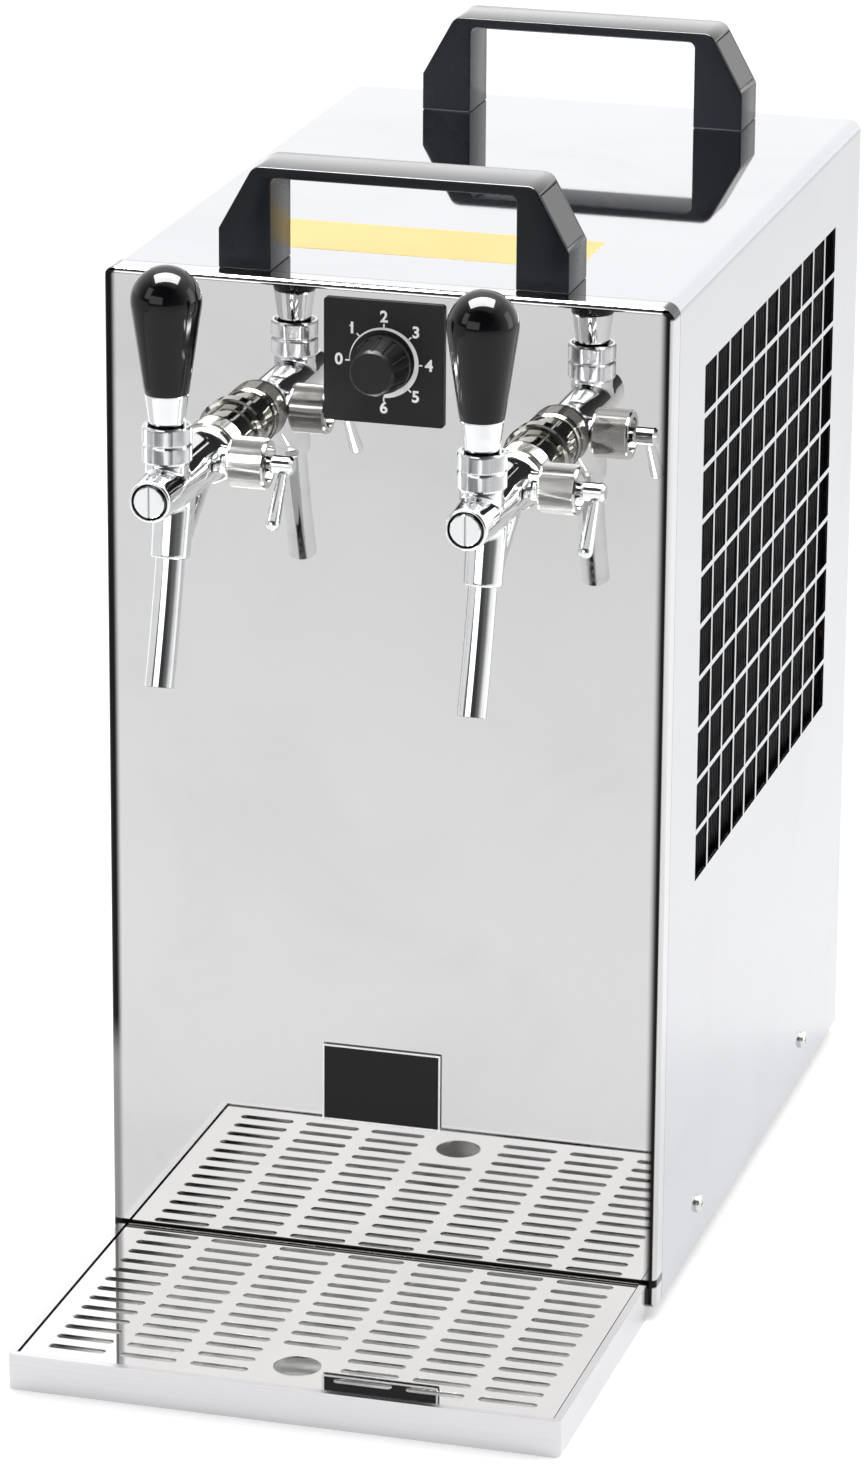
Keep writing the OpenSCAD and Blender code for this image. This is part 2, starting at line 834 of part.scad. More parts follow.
module tap_body() {
    bell_end = union_front + union_gap + bell_t;
    color("silver") difference() {
        union() {
            turned_forward() polygon(concat(
                [[0, tail_back], [thread_r - fit, tail_back], [thread_r - fit, union_front - union_lip],
                 [tail_r, union_front - union_lip], [tail_r, union_front + union_gap],
                 [bell_r, union_front + union_gap]],
                [for (t = [0:15:90]) [barrel_r + (bell_r - barrel_r) * (1 - sin(t)),
                                      bell_end + bell_fade * (1 - cos(t))]],
                [[barrel_r, body_reach - nose_l]],
                [for (t = [0:30:90]) [nose_r - nose_round * (1 - cos(t)),
                                      body_reach - nose_round * (1 - sin(t))]],
                [[0, body_reach]]));
            cone(web_from, web_to, web_r, web_foot_r);
            translate(web_to) sphere(web_foot_r + bend_swell);
            outlet_frame() translate([0, 0, -socket_l])
                cylinder(h = socket_l, r1 = socket_r, r2 = socket_top_r);
            translate([0, -lever_reach, 0]) rotate_extrude() polygon([
                [0, 0], [neck_r, 0], [neck_r, neck_top],
                [neck_thread_r, neck_top], [neck_thread_r, neck_top + neck_thread_l],
                [0, neck_top + neck_thread_l]]);
            translate([0, -comp_reach, 0]) rotate([0, 90, 0]) cylinder(h = boss_end, r = boss_r);
        }
        turned_forward() polygon([
            [0, tail_back - 1], [inlet_bore_r, tail_back - 1], [inlet_bore_r, seat_reach],
            [seat_r, seat_reach], [seat_r, seat_reach + seat_l], [chamber_r, seat_reach + seat_l],
            [chamber_r, body_reach + 1], [0, body_reach + 1]]);
        outlet_frame() {
            translate([0, 0, -socket_l]) cylinder(h = socket_l, r = outlet_bore_r);
            translate([0, 0, -socket_l - 1]) cylinder(h = spout_seat + 1, r = spout_r + shaft_fit);
        }
        lever_slot();
        translate([0, -lever_reach, pivot_z]) sphere(pivot_ball_r + run);
        translate([0, -comp_reach, 0]) rotate([0, 90, 0])
            cylinder(h = boss_end + 1, r = stem_r + shaft_fit);
    }
}

module front_plugs() {
    front = body_reach + plug_proud;
    face_r = plug_r - plug_ring;
    color("silver") at_taps() difference() {
        turned_forward() polygon([[0, body_reach - plug_l], [plug_r, body_reach - plug_l],
            [plug_r, body_reach - plug_ring_d], [face_r, body_reach - plug_ring_d],
            [face_r, front - 0.4], [face_r - 0.4, front], [0, front]]);
        translate([-plug_slot / 2, -front - 1, -plug_r - 1]) cube([plug_slot, 2, 2 * plug_r + 2]);
    }
}

module valve_shaft() {
    half = pivot_ball_r + run;
    pocket = lever_end_r + run;
    seat_gap = 0.1;
    seal_front = seat_reach - seat_gap;
    color("gray") difference() {
        turned_forward() polygon([
            [0, seal_front - seal_l - 1], [seal_r - 2, seal_front - seal_l - 1],
            [seal_r, seal_front - seal_l], [seal_r, seal_front], [valve_rod_r, seal_front],
            [valve_rod_r, lever_reach - guide_back], [chamber_r - shaft_fit, lever_reach - guide_back],
            [chamber_r - shaft_fit, lever_reach + guide_front - 1],
            [chamber_r - 1, lever_reach + guide_front], [0, lever_reach + guide_front]]);
        translate([-pocket, -lever_reach - pocket, -pocket]) cube([2 * pocket, 2 * pocket, 4 * chamber_r]);
        translate([-half, -lever_reach - half - valve_travel, lever_end_r - 0.4])
            cube([2 * half, 2 * half + valve_travel, 2 * chamber_r]);
    }
}

module bonnet_nuts() {
    color("silver") at_taps() difference() {
        translate([0, -lever_reach, 0]) intersection() {
            rotate_extrude() polygon([[0, neck_top], [collar_r - collar_bevel, neck_top],
                [collar_r, neck_top + collar_bevel], [collar_r, collar_top], [0, collar_top]]);
            translate([0, 0, pivot_z]) sphere(dome_r);
        }
        translate([0, -lever_reach, neck_top - 1])
            cylinder(h = neck_thread_l + 1 + fit, r = neck_thread_r + fit);
        lever_slot();
    }
}

module tap_lever() {
    color("silver") translate([0, -lever_reach, 0]) {
        sphere(lever_end_r);
        translate([0, 0, pivot_z]) sphere(pivot_ball_r);
        cylinder(h = lever_top, r = lever_r);
    }
}

module handle_locknut() {
    color("silver") translate([0, -lever_reach, 0]) difference() {
        rotate_extrude() polygon([[lever_r + fit, collar_edge], [collar_r, collar_edge],
            [collar_r, collar_top - collar_bevel], [collar_r - collar_bevel, collar_top],
            [collar_recess_r, collar_top], [collar_recess_r, collar_top - collar_recess],
            [lever_r + fit, collar_top - collar_recess]]);
        translate([0, 0, pivot_z]) sphere(dome_r + run);
    }
}

module handle_ferrule() {
    color("silver") translate([0, -lever_reach, 0]) rotate_extrude() polygon([
        [lever_r + fit, collar_top - collar_recess], [ferrule_foot_r, collar_top - collar_recess],
        [ferrule_foot_r, collar_top], [grip_foot_r - 0.3, ferrule_top - 0.6],
        [grip_foot_r - 0.3, ferrule_top], [lever_r + fit, ferrule_top]]);
}

module handle_grip() {
    crown = ferrule_top + grip_l - grip_r;
    color("#101012") translate([0, -lever_reach, 0]) rotate_extrude() polygon(concat(
        [[lever_r + fit, ferrule_top], [grip_foot_r - 0.6, ferrule_top], [grip_foot_r, ferrule_top + 0.6]],
        [for (t = [-grip_taper:7:83]) [grip_r * cos(t), crown + grip_r * sin(t)]],
        [[0, crown + grip_r], [0, lever_top + fit], [lever_r + fit, lever_top + fit]]));
}

module spout() {
    color("silver") outlet_frame() translate([0, 0, -socket_l]) {
        difference() {
            cylinder(h = spout_seat, r = spout_r);
            translate([0, 0, -1]) cylinder(h = spout_seat + 2, r = spout_r - spout_wall);
        }
        translate([0, -spout_curve, 0]) rotate([-90, 0, 90]) rotate_extrude(angle = spout_bend)
            translate([spout_curve, 0]) difference() {
                circle(spout_r);
                circle(spout_r - spout_wall);
            }
    }
}

module compensator_sleeves() {
    bevel = 0.7;
    color("silver") at_taps() translate([0, -comp_reach, 0]) turned_sideways() polygon([
        [stem_r + run, boss_end], [sleeve_r - bevel, boss_end], [sleeve_r, boss_end + bevel],
        [sleeve_r, sleeve_end - bevel], [sleeve_r - bevel, sleeve_end], [sleeve_recess_r, sleeve_end],
        [sleeve_recess_r, sleeve_end - sleeve_recess], [stem_r + run, sleeve_end - sleeve_recess]]);
}

module comp_lever_frame() {
    translate([comp_lever_x, -comp_reach, 0]) rotate([180 - comp_lean, 0, 0]) children();
}

module compensator_stem() {
    cheek = 2 * stem_r + 2;
    color("silver") difference() {
        translate([0, -comp_reach, 0]) turned_sideways() polygon([
            [0, -stem_in], [stem_r, -stem_in], [stem_r, stem_neck], [stem_bulb, stem_neck + 1.6],
            [stem_bulb, stem_end - 1.4], [stem_bulb - 1.4, stem_end], [0, stem_end]]);
        // Half-moon end that throttles the flow
        translate([-stem_in - 1, -comp_reach + 0.6, -cheek / 2])
            cube([2 * stem_in + 1, cheek, cheek]);
        comp_lever_frame() translate([0, 0, 0.8])
            cylinder(h = stem_bulb, r = comp_lever_seat_r + shaft_fit);
    }
}

module compensator_lever() {
    root = stem_bulb + 0.3;
    ball_z = comp_lever_l - comp_lever_tip_r;
    color("silver") comp_lever_frame() rotate_extrude() polygon(concat(
        [[0, 0.8], [comp_lever_seat_r, 0.8], [comp_lever_seat_r, root], [comp_lever_root_r, root + 0.3]],
        [for (t = [0:15:75]) [comp_lever_tip_r * cos(t), ball_z + comp_lever_tip_r * sin(t)]],
        [[0, comp_lever_l]]));
}

module shank_left() { at_tap(-1) shank(); }
module tap_body_left() { at_tap(-1) tap_body(); }
module valve_shaft_left() { at_tap(-1) valve_shaft(); }
module spout_left() { at_tap(-1) spout(); }
module compensator_stem_left() { at_tap(-1) compensator_stem(); }
module compensator_lever_left() { at_tap(-1) compensator_lever(); }
module tap_lever_left() { at_tap(-1) tap_lever(); }
module handle_locknut_left() { at_tap(-1) handle_locknut(); }
module handle_ferrule_left() { at_tap(-1) handle_ferrule(); }
module handle_grip_left() { at_tap(-1) handle_grip(); }
module shank_right() { at_tap(1) shank(); }
module tap_body_right() { at_tap(1) tap_body(); }
module valve_shaft_right() { at_tap(1) valve_shaft(); }
module spout_right() { at_tap(1) spout(); }
module compensator_stem_right() { at_tap(1) compensator_stem(); }
module compensator_lever_right() { at_tap(1) compensator_lever(); }
module tap_lever_right() { at_tap(1) tap_lever(); }
module handle_locknut_right() { at_tap(1) handle_locknut(); }
module handle_ferrule_right() { at_tap(1) handle_ferrule(); }
module handle_grip_right() { at_tap(1) handle_grip(); }

// Cooling system

module condenser() {
    fin_pitch = (condenser_l - fin_t) / (fin_count - 1);
    front = condenser_y - coil_out;
    back = condenser_back_y + coil_out;
    color("#303030") union() {
        for (i = [0:fin_count - 1])
            translate([condenser_x, condenser_y + i * fin_pitch, condenser_z])
                cube([condenser_t, fin_t, condenser_h]);
        tube([for (k = [0:coil_rows - 1]) for (e = k % 2 == 0 ? [back, front] : [front, back])
            [coil_x, e, coil_first_z + k * coil_pitch]], coil_r);
    }
}

module fan_shroud() {
    y = condenser_y - shroud_lip;
    l = condenser_l + 2 * shroud_lip;
    color("silver") union() {
        along_x(shroud_x, condenser_x) difference() {
            translate([y, condenser_z - shroud_t]) square([l, condenser_h + shroud_t + shroud_lip]);
            translate([fan_y, fan_z]) circle(duct_r, $fn = 96);
        }
        along_x(shroud_x - duct_l, shroud_x) translate([fan_y, fan_z]) difference() {
            circle(duct_r + shroud_t, $fn = 96);
            circle(duct_r, $fn = 96);
        }
        translate([shroud_x, y, condenser_z - shroud_t]) cube([condenser_t + shroud_t, l, shroud_t]);
        for (leg_y = [y + 20, y + l - 20 - shroud_leg]) translate([shroud_x, leg_y, floor_z]) {
            cube([shroud_t, shroud_leg, condenser_z - floor_z]);
            cube([shroud_foot, shroud_leg, shroud_t]);
        }
    }
}

module at_fan() {
    translate([0, fan_y, fan_z]) children();
}

module fan_motor() {
    arm_in = motor_r - 8;
    shaft_l = motor_arm_t + fan_hub_l;
    color("dimgray") at_fan() union() {
        turned_sideways() polygon([[0, motor_x - motor_l], [motor_r - 6, motor_x - motor_l],
            [motor_r, motor_x - motor_l + 6], [motor_r, motor_x + motor_nest],
            [fan_shaft_r, motor_x + motor_nest],
            [fan_shaft_r, motor_x + shaft_l], [0, motor_x + shaft_l]]);
        for (a = [90, 210, 330]) rotate([a, 0, 0])
            translate([motor_x, arm_in, -motor_arm_w / 2])
                cube([motor_arm_t, duct_r + shroud_t - arm_in, motor_arm_w]);
    }
}

module fan_rotor() {
    x0 = motor_x + motor_arm_t + 2;
    mid = x0 + fan_hub_l / 2;
    color("#4a4a4e") at_fan() difference() {
        union() {
            turned_sideways() polygon([[0, x0], [fan_hub_r, x0], [fan_hub_r, x0 + fan_hub_l - 3],
                [fan_hub_r - 3, x0 + fan_hub_l], [0, x0 + fan_hub_l]]);
            intersection() {
                for (i = [0:fan_blades - 1]) rotate([i * 360 / fan_blades, 0, 0])
                    translate([mid, fan_hub_r - 4, 0]) rotate([0, fan_pitch, 0])
                        translate([-fan_blade_t / 2, 0, -fan_chord / 2])
                            cube([fan_blade_t, fan_r, fan_chord]);
                translate([x0 - fan_chord, 0, 0]) rotate([0, 90, 0])
                    cylinder(h = 3 * fan_chord, r = fan_r, $fn = 96);
            }
        }
        translate([x0 - 1, 0, 0]) rotate([0, 90, 0])
            cylinder(h = fan_hub_l - 1, r = fan_shaft_r + shaft_fit);
    }
}

module compressor() {
    shoulder = 25;
    plate_w = 2 * compressor_r + 16;
    plate_d = 2 * compressor_r - 10;
    color("#1a1a1c") translate([compressor_x, compressor_y, compressor_z]) union() {
        translate([-plate_w / 2, -plate_d / 2, -compressor_plate_t])
            cube([plate_w, plate_d, compressor_plate_t]);
        rotate_extrude() polygon(concat(
            [[0, 0], [compressor_r - 12, 0], [compressor_r, 12]],
            [for (t = [0:15:75]) [compressor_r * cos(t), compressor_h - shoulder + shoulder * sin(t)]],
            [[0, compressor_h]]));
        for (s = [-1, 1]) translate([s * port_x, 0, compressor_h - shoulder])
            cylinder(h = port_top_z - compressor_z - compressor_h + shoulder, r = suction_r + 0.5);
    }
}

module compressor_mounts() {
    color("black") for (x = [-1, 1], y = [-1, 1])
        translate([compressor_x + x * (compressor_r - grommet_in_x),
                   compressor_y + y * (compressor_r - grommet_in_y), floor_z])
            cylinder(h = grommet_h, r = grommet_r);
}

module cooling_block() {
    inset = jacket_t + fit;
    color("silver") translate([jacket_x + inset, jacket_y + inset, floor_z + jacket_t])
        cube([jacket_w - 2 * inset, jacket_d - 2 * inset, jacket_h - jacket_t - block_drop]);
}

module insulation_jacket() {
    color("#2e3a44") difference() {
        translate([jacket_x, jacket_y, floor_z]) cube([jacket_w, jacket_d, jacket_h]);
        translate([jacket_x + jacket_t, jacket_y + jacket_t, floor_z + jacket_t])
            cube([jacket_w - 2 * jacket_t, jacket_d - 2 * jacket_t, jacket_h]);
        for (x = inlet_x) translate([x, jacket_back_y + 1, inlet_z]) rotate([90, 0, 0])
            cylinder(h = jacket_t + 2, r = hose_r + fit);
    }
}

module beer_lines() {
    bend_y = front_y + shank_tail + hose_bend;
    drop_y = jacket_y + jacket_t + hose_in;
    color("whitesmoke") {
        for (x = inlet_x) rod([x, block_back_y, inlet_z], [x, back_y - inlet_tail, inlet_z], hose_r);
        for (s = [-1, 1]) {
            x = s * tap_spacing / 2;
            drop_x = jacket_mid_x + s * hose_spread;
            tube([[x, front_y + shank_tail, tap_z], [x, bend_y, tap_z], [drop_x, drop_y, tap_z],
                [drop_x, drop_y, block_top_z]], hose_r);
        }
    }
}

module refrigerant_lines() {
    low_z = floor_z + line_low;
    entry_x = jacket_x + jacket_w - entry_in;
    entry_y = jacket_back_y + entry_out;
    entry_z = floor_z + entry_high;
    coil_end_y = condenser_back_y + coil_out;
    hot = compressor_x + port_x;
    cold = compressor_x - port_x;
    color("peru") {
        tube([[hot, compressor_y, port_top_z], [hot, compressor_y, port_top_z + line_rise],
            [hot, back_run_y, port_top_z + line_rise], [drier_x - line_slant, back_run_y, coil_last_z],
            [coil_x, back_run_y, coil_last_z], [coil_x, coil_end_y, coil_last_z]], gas_r);
        tube([[coil_x, coil_end_y, coil_first_z], [coil_x, back_run_y, coil_first_z],
            [drier_x, back_run_y, coil_first_z - line_slant], [drier_x, back_run_y, drier_top_z]], gas_r);
        tube([[drier_x, back_run_y, drier_top_z - drier_l], [drier_x, back_run_y, low_z],
            [drier_x, entry_y, low_z], [entry_x, entry_y, entry_z], [entry_x, jacket_back_y, entry_z]],
            capillary_r);
        tube([[cold, compressor_y, port_top_z], [cold, compressor_y, port_top_z + line_rise],
            [cold, jacket_back_y, port_top_z + line_rise]], suction_r);
    }
}

module filter_drier() {
    color("peru") translate([drier_x, back_run_y, drier_top_z - drier_l]) rotate_extrude() polygon([
        [0, 0], [drier_neck_r, 0], [drier_r, drier_cone], [drier_r, drier_l - drier_cone],
        [drier_neck_r, drier_l], [0, drier_l]]);
}

// Drink inlets and mains lead at the back

module turned_back() {
    rotate([-90, 0, 0]) rotate_extrude() children();
}

module drink_inlets() {
    water_r = 3;
    pocket_r = collet_r + shaft_fit;
    color("whitesmoke") for (x = inlet_x) translate([x, back_y, inlet_z]) turned_back() polygon([
        [water_r, -inlet_tail], [hose_r, -inlet_tail], [hose_r, -inlet_thread],
        [inlet_body_r, -inlet_thread], [inlet_body_r, 0], [inlet_flange_r, 0],
        [inlet_flange_r, inlet_flange_t],
        [inlet_nose_r, inlet_flange_t], [inlet_nose_r, inlet_nose], [pocket_r, inlet_nose],
        [pocket_r, inlet_bore_out], [inlet_tube_r, inlet_bore_out], [inlet_tube_r, -inlet_bore_in],
        [water_r, -inlet_bore_in]]);
}

module inlet_collet(x) {
    bore = inlet_tube_r + 0.1;
    start = inlet_bore_out + collet_travel + 0.1;
    color("#2f6db5") translate([x, back_y, inlet_z]) turned_back() polygon([
        [bore, start], [collet_r, start], [collet_r, inlet_out - collet_lip_t],
        [collet_r + collet_lip, inlet_out - collet_lip_t], [collet_r + collet_lip, inlet_out - 0.3],
        [collet_r + collet_lip - 0.3, inlet_out], [bore, inlet_out]]);
}

module inlet_collet_left() { inlet_collet(inlet_x[0]); }
module inlet_collet_right() { inlet_collet(inlet_x[1]); }

module cord_gland() {
    color("#1a1a1a") translate([gland_x, back_y, gland_z]) difference() {
        union() {
            turned_back() polygon([
                [0, -gland_thread_l], [gland_thread_r, -gland_thread_l], [gland_thread_r, 0], [gland_nut_r, 0],
                [gland_nut_r, gland_out - 6], [gland_nut_r - 3, gland_out], [0, gland_out]]);
            rotate([-90, 0, 0]) cylinder(h = gland_hex_t, r = gland_hex_r, $fn = 6);
        }
        translate([0, -gland_thread_l - 1, 0]) rotate([-90, 0, 0])
            cylinder(h = gland_thread_l + gland_out + 2, r = gland_bore_r);
    }
}

base_pan();
feet();
cover();
cover_screws();
front_panel();
rear_panel();
carry_handle_front();
carry_handle_rear();
handle_caps();
thermostat_plate();
thermostat();
thermostat_shaft();
thermostat_knob();
thermostat_probe();
name_plate();
drip_tray();
drip_grid();
shank_nuts();
union_nuts();
front_plugs();
bonnet_nuts();
compensator_sleeves();
shank_left();
tap_body_left();
valve_shaft_left();
spout_left();
compensator_stem_left();
compensator_lever_left();
tap_lever_left();
handle_locknut_left();
handle_ferrule_left();
handle_grip_left();
shank_right();
tap_body_right();
valve_shaft_right();
spout_right();
compensator_stem_right();
compensator_lever_right();
tap_lever_right();
handle_locknut_right();
handle_ferrule_right();
handle_grip_right();
condenser();
fan_shroud();
fan_motor();
fan_rotor();
compressor();
compressor_mounts();
cooling_block();
insulation_jacket();
beer_lines();
refrigerant_lines();
filter_drier();
drink_inlets();
inlet_collet_left();
inlet_collet_right();
cord_gland();
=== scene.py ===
import json
import math

import bmesh
import bpy
from mathutils import Matrix, Vector


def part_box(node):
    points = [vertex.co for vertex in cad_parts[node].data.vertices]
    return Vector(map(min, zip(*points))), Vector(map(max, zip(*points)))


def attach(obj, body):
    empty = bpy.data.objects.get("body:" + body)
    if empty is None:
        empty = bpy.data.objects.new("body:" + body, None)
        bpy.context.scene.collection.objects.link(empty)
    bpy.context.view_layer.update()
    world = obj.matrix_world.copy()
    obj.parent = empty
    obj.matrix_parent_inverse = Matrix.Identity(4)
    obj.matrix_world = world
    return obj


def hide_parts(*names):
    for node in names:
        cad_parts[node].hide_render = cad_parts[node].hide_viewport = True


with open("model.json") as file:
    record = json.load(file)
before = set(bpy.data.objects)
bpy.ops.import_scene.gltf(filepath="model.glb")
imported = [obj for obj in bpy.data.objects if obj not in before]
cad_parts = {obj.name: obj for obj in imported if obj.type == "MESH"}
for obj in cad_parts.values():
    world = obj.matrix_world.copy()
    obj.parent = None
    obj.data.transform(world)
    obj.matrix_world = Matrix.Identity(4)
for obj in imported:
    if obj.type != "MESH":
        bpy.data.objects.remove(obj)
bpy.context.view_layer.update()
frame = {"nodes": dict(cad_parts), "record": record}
MM = 0.001
record = frame["record"]

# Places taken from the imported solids, in metres
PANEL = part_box("front_panel")
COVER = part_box("cover")
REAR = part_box("rear_panel")
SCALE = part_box("thermostat_plate")
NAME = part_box("name_plate")
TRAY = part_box("drip_tray")
FRONT_Y = PANEL[0][1]
TOP_Z = COVER[1][2]
TAP_X, LEVER_Y, _ = ((low + high) / 2 for low, high in zip(*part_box("handle_grip_right")))
TAP_Z = sum(corner[2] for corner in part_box("union_nuts")) / 2
COMP_Y = FRONT_Y - 46 * MM
SIDES = (("left", -1), ("right", 1))


# Helpers for node trees

def maths(tree, operation, *values):
    """A math node fed by sockets or by plain numbers."""
    node = tree.nodes.new("ShaderNodeMath")
    node.operation = operation
    for slot, value in zip(node.inputs, values):
        if isinstance(value, (int, float)):
            slot.default_value = value
        else:
            tree.links.new(value, slot)
    return node.outputs[0]


def ramp(tree, value, start, end, low=0.0, high=1.0, soft=False):
    """A value that runs from low at the start to high at the end, and stays level beyond them."""
    span = tree.nodes.new("ShaderNodeMapRange")
    span.interpolation_type = "SMOOTHSTEP" if soft else "LINEAR"
    for label, number in (("From Min", start), ("From Max", end), ("To Min", low), ("To Max", high)):
        span.inputs[label].default_value = number
    tree.links.new(value, span.inputs["Value"])
    return span.outputs["Result"]


# Shader groups shared by the finishes

def shader_group(name, inputs, outputs):
    tree = bpy.data.node_groups.new(name, "ShaderNodeTree")
    for label, kind, value in inputs:
        socket = tree.interface.new_socket(name=label, in_out="INPUT", socket_type=kind)
        if value is not None:
            socket.default_value = value
    for label, kind in outputs:
        tree.interface.new_socket(name=label, in_out="OUTPUT", socket_type=kind)
    return tree, tree.nodes.new("NodeGroupInput"), tree.nodes.new("NodeGroupOutput")


def make_brushing():
    """Long fine lines along one direction of a rolled sheet."""
    tree, given, out = shader_group("brushed_lines", [
        ("Vector", "NodeSocketVector", None), ("Across", "NodeSocketVector", (900, 8, 900)),
        ("Contrast", "NodeSocketFloat", 0.5)], [("Line", "NodeSocketFloat")])
    stretch = tree.nodes.new("ShaderNodeMapping")
    lines = tree.nodes.new("ShaderNodeTexNoise")
    lines.inputs["Scale"].default_value = 1.0
    lines.inputs["Detail"].default_value = 3.0
    tree.links.new(given.outputs["Vector"], stretch.inputs["Vector"])
    tree.links.new(given.outputs["Across"], stretch.inputs["Scale"])
    tree.links.new(stretch.outputs["Vector"], lines.inputs["Vector"])
    centred = maths(tree, "SUBTRACT", lines.outputs["Fac"], 0.5)
    line = maths(tree, "MULTIPLY_ADD", centred, given.outputs["Contrast"], 0.5)
    tree.links.new(line, out.inputs["Line"])
    return tree


def make_smudges():
    """Cloudy patches left by a cloth and by hands."""
    tree, given, out = shader_group("wiped_smudges", [
        ("Vector", "NodeSocketVector", None), ("Size", "NodeSocketFloat", 14.0),
        ("Cover", "NodeSocketFloat", 0.5)], [("Mask", "NodeSocketFloat")])
    clouds = tree.nodes.new("ShaderNodeTexNoise")
    clouds.inputs["Detail"].default_value = 5.0
    clouds.inputs["Roughness"].default_value = 0.6
    clouds.inputs["Distortion"].default_value = 0.7
    tree.links.new(given.outputs["Vector"], clouds.inputs["Vector"])
    tree.links.new(given.outputs["Size"], clouds.inputs["Scale"])
    edge = ramp(tree, clouds.outputs["Fac"], 0.0, 0.8, soft=True)
    tree.links.new(given.outputs["Cover"], edge.node.inputs["From Min"])
    tree.links.new(edge, out.inputs["Mask"])
    return tree


def make_pebbling():
    """Fine moulded or cast skin: small bumps, and a slow change of tone."""
    tree, given, out = shader_group("moulded_skin", [
        ("Vector", "NodeSocketVector", None), ("Bump Size", "NodeSocketFloat", 1500.0),
        ("Tone Size", "NodeSocketFloat", 30.0)],
        [("Height", "NodeSocketFloat"), ("Tone", "NodeSocketFloat")])
    pebbles = tree.nodes.new("ShaderNodeTexVoronoi")
    pebbles.feature = "SMOOTH_F1"
    tone = tree.nodes.new("ShaderNodeTexNoise")
    tone.inputs["Detail"].default_value = 4.0
    tree.links.new(given.outputs["Vector"], pebbles.inputs["Vector"])
    tree.links.new(given.outputs["Bump Size"], pebbles.inputs["Scale"])
    tree.links.new(given.outputs["Vector"], tone.inputs["Vector"])
    tree.links.new(given.outputs["Tone Size"], tone.inputs["Scale"])
    tree.links.new(pebbles.outputs["Distance"], out.inputs["Height"])
    tree.links.new(tone.outputs["Fac"], out.inputs["Tone"])
    return tree


BRUSHING = make_brushing()
SMUDGES = make_smudges()
PEBBLING = make_pebbling()


# Finishes

class Finish:
    """A material under way: its nodes, its shader and its object coordinates."""

    def __init__(self, name, metallic=0.0, roughness=0.5, **constants):
        self.material = bpy.data.materials.new(name)
        self.material.use_nodes = True
        self.nodes = self.material.node_tree.nodes
        self.links = self.material.node_tree.links
        self.shader = self.nodes["Principled BSDF"]
        self.shader.inputs["Metallic"].default_value = metallic
        self.shader.inputs["Roughness"].default_value = roughness
        for label, value in constants.items():
            self.shader.inputs[label.replace("_", " ")].default_value = value
        self.place = self.nodes.new("ShaderNodeTexCoord").outputs["Object"]

    def group(self, tree, **values):
        node = self.nodes.new("ShaderNodeGroup")
        node.node_tree = tree
        self.links.new(self.place, node.inputs["Vector"])
        for label, value in values.items():
            node.inputs[label.replace("_", " ")].default_value = value
        return node

    def colour(self, mask, low, high):
        mix = self.nodes.new("ShaderNodeMix")
        mix.data_type = "RGBA"
        mix.inputs[6].default_value = (*low, 1)
        mix.inputs[7].default_value = (*high, 1)
        self.links.new(mask, mix.inputs[0])
        self.links.new(mix.outputs[2], self.shader.inputs["Base Color"])

    def gloss(self, mask, low, high):
        rough = ramp(self.material.node_tree, mask, 0.0, 1.0, low, high)
        self.links.new(rough, self.shader.inputs["Roughness"])

    def step(self, value, start, end, high=1.0):
        """A soft step from 0 at the start to high at the end."""
        return ramp(self.material.node_tree, value, start, end, 0.0, high, soft=True)

    def calc(self, operation, *values):
        return maths(self.material.node_tree, operation, *values)

    def length(self, a, b):
        """The length of a vector from its two sides."""
        return self.calc("SQRT", self.calc("ADD", self.calc("POWER", a, 2.0), self.calc("POWER", b, 2.0)))

    def shade(self, mask, tone):
        """Mix the colour so far towards one tone."""
        so_far = self.shader.inputs["Base Color"].links[0].from_socket
        self.colour(mask, tone, tone)
        mix = self.shader.inputs["Base Color"].links[0].from_node
        self.links.new(so_far, mix.inputs[6])

    def parts_of(self, vector):
        split = self.nodes.new("ShaderNodeSeparateXYZ")
        self.links.new(vector, split.inputs[0])
        return split.outputs

    def axes(self):
        return self.parts_of(self.place)

    def facing_up(self):
        """1 on a face that looks straight up, 0 on an upright one."""
        return self.parts_of(self.nodes.new("ShaderNodeNewGeometry").outputs["Normal"])["Z"]

    def relief(self, height, strength, distance):
        bump = self.nodes.new("ShaderNodeBump")
        bump.inputs["Strength"].default_value = strength
        bump.inputs["Distance"].default_value = distance
        self.links.new(height, bump.inputs["Height"])
        self.links.new(bump.outputs["Normal"], self.shader.inputs["Normal"])


def polished_sheet(name, low, high, rough):
    """Mirror-polished stainless steel with a few wiped patches."""
    f = Finish(name, metallic=1.0)
    smudge = f.group(SMUDGES, Size=9.0, Cover=0.42).outputs["Mask"]
    line = f.group(BRUSHING, Across=(1400, 1400, 6), Contrast=0.6).outputs["Line"]
    f.colour(smudge, high, low)
    f.gloss(smudge, rough, rough + 0.02)
    f.relief(line, 0.006, 0.0001)
    return f


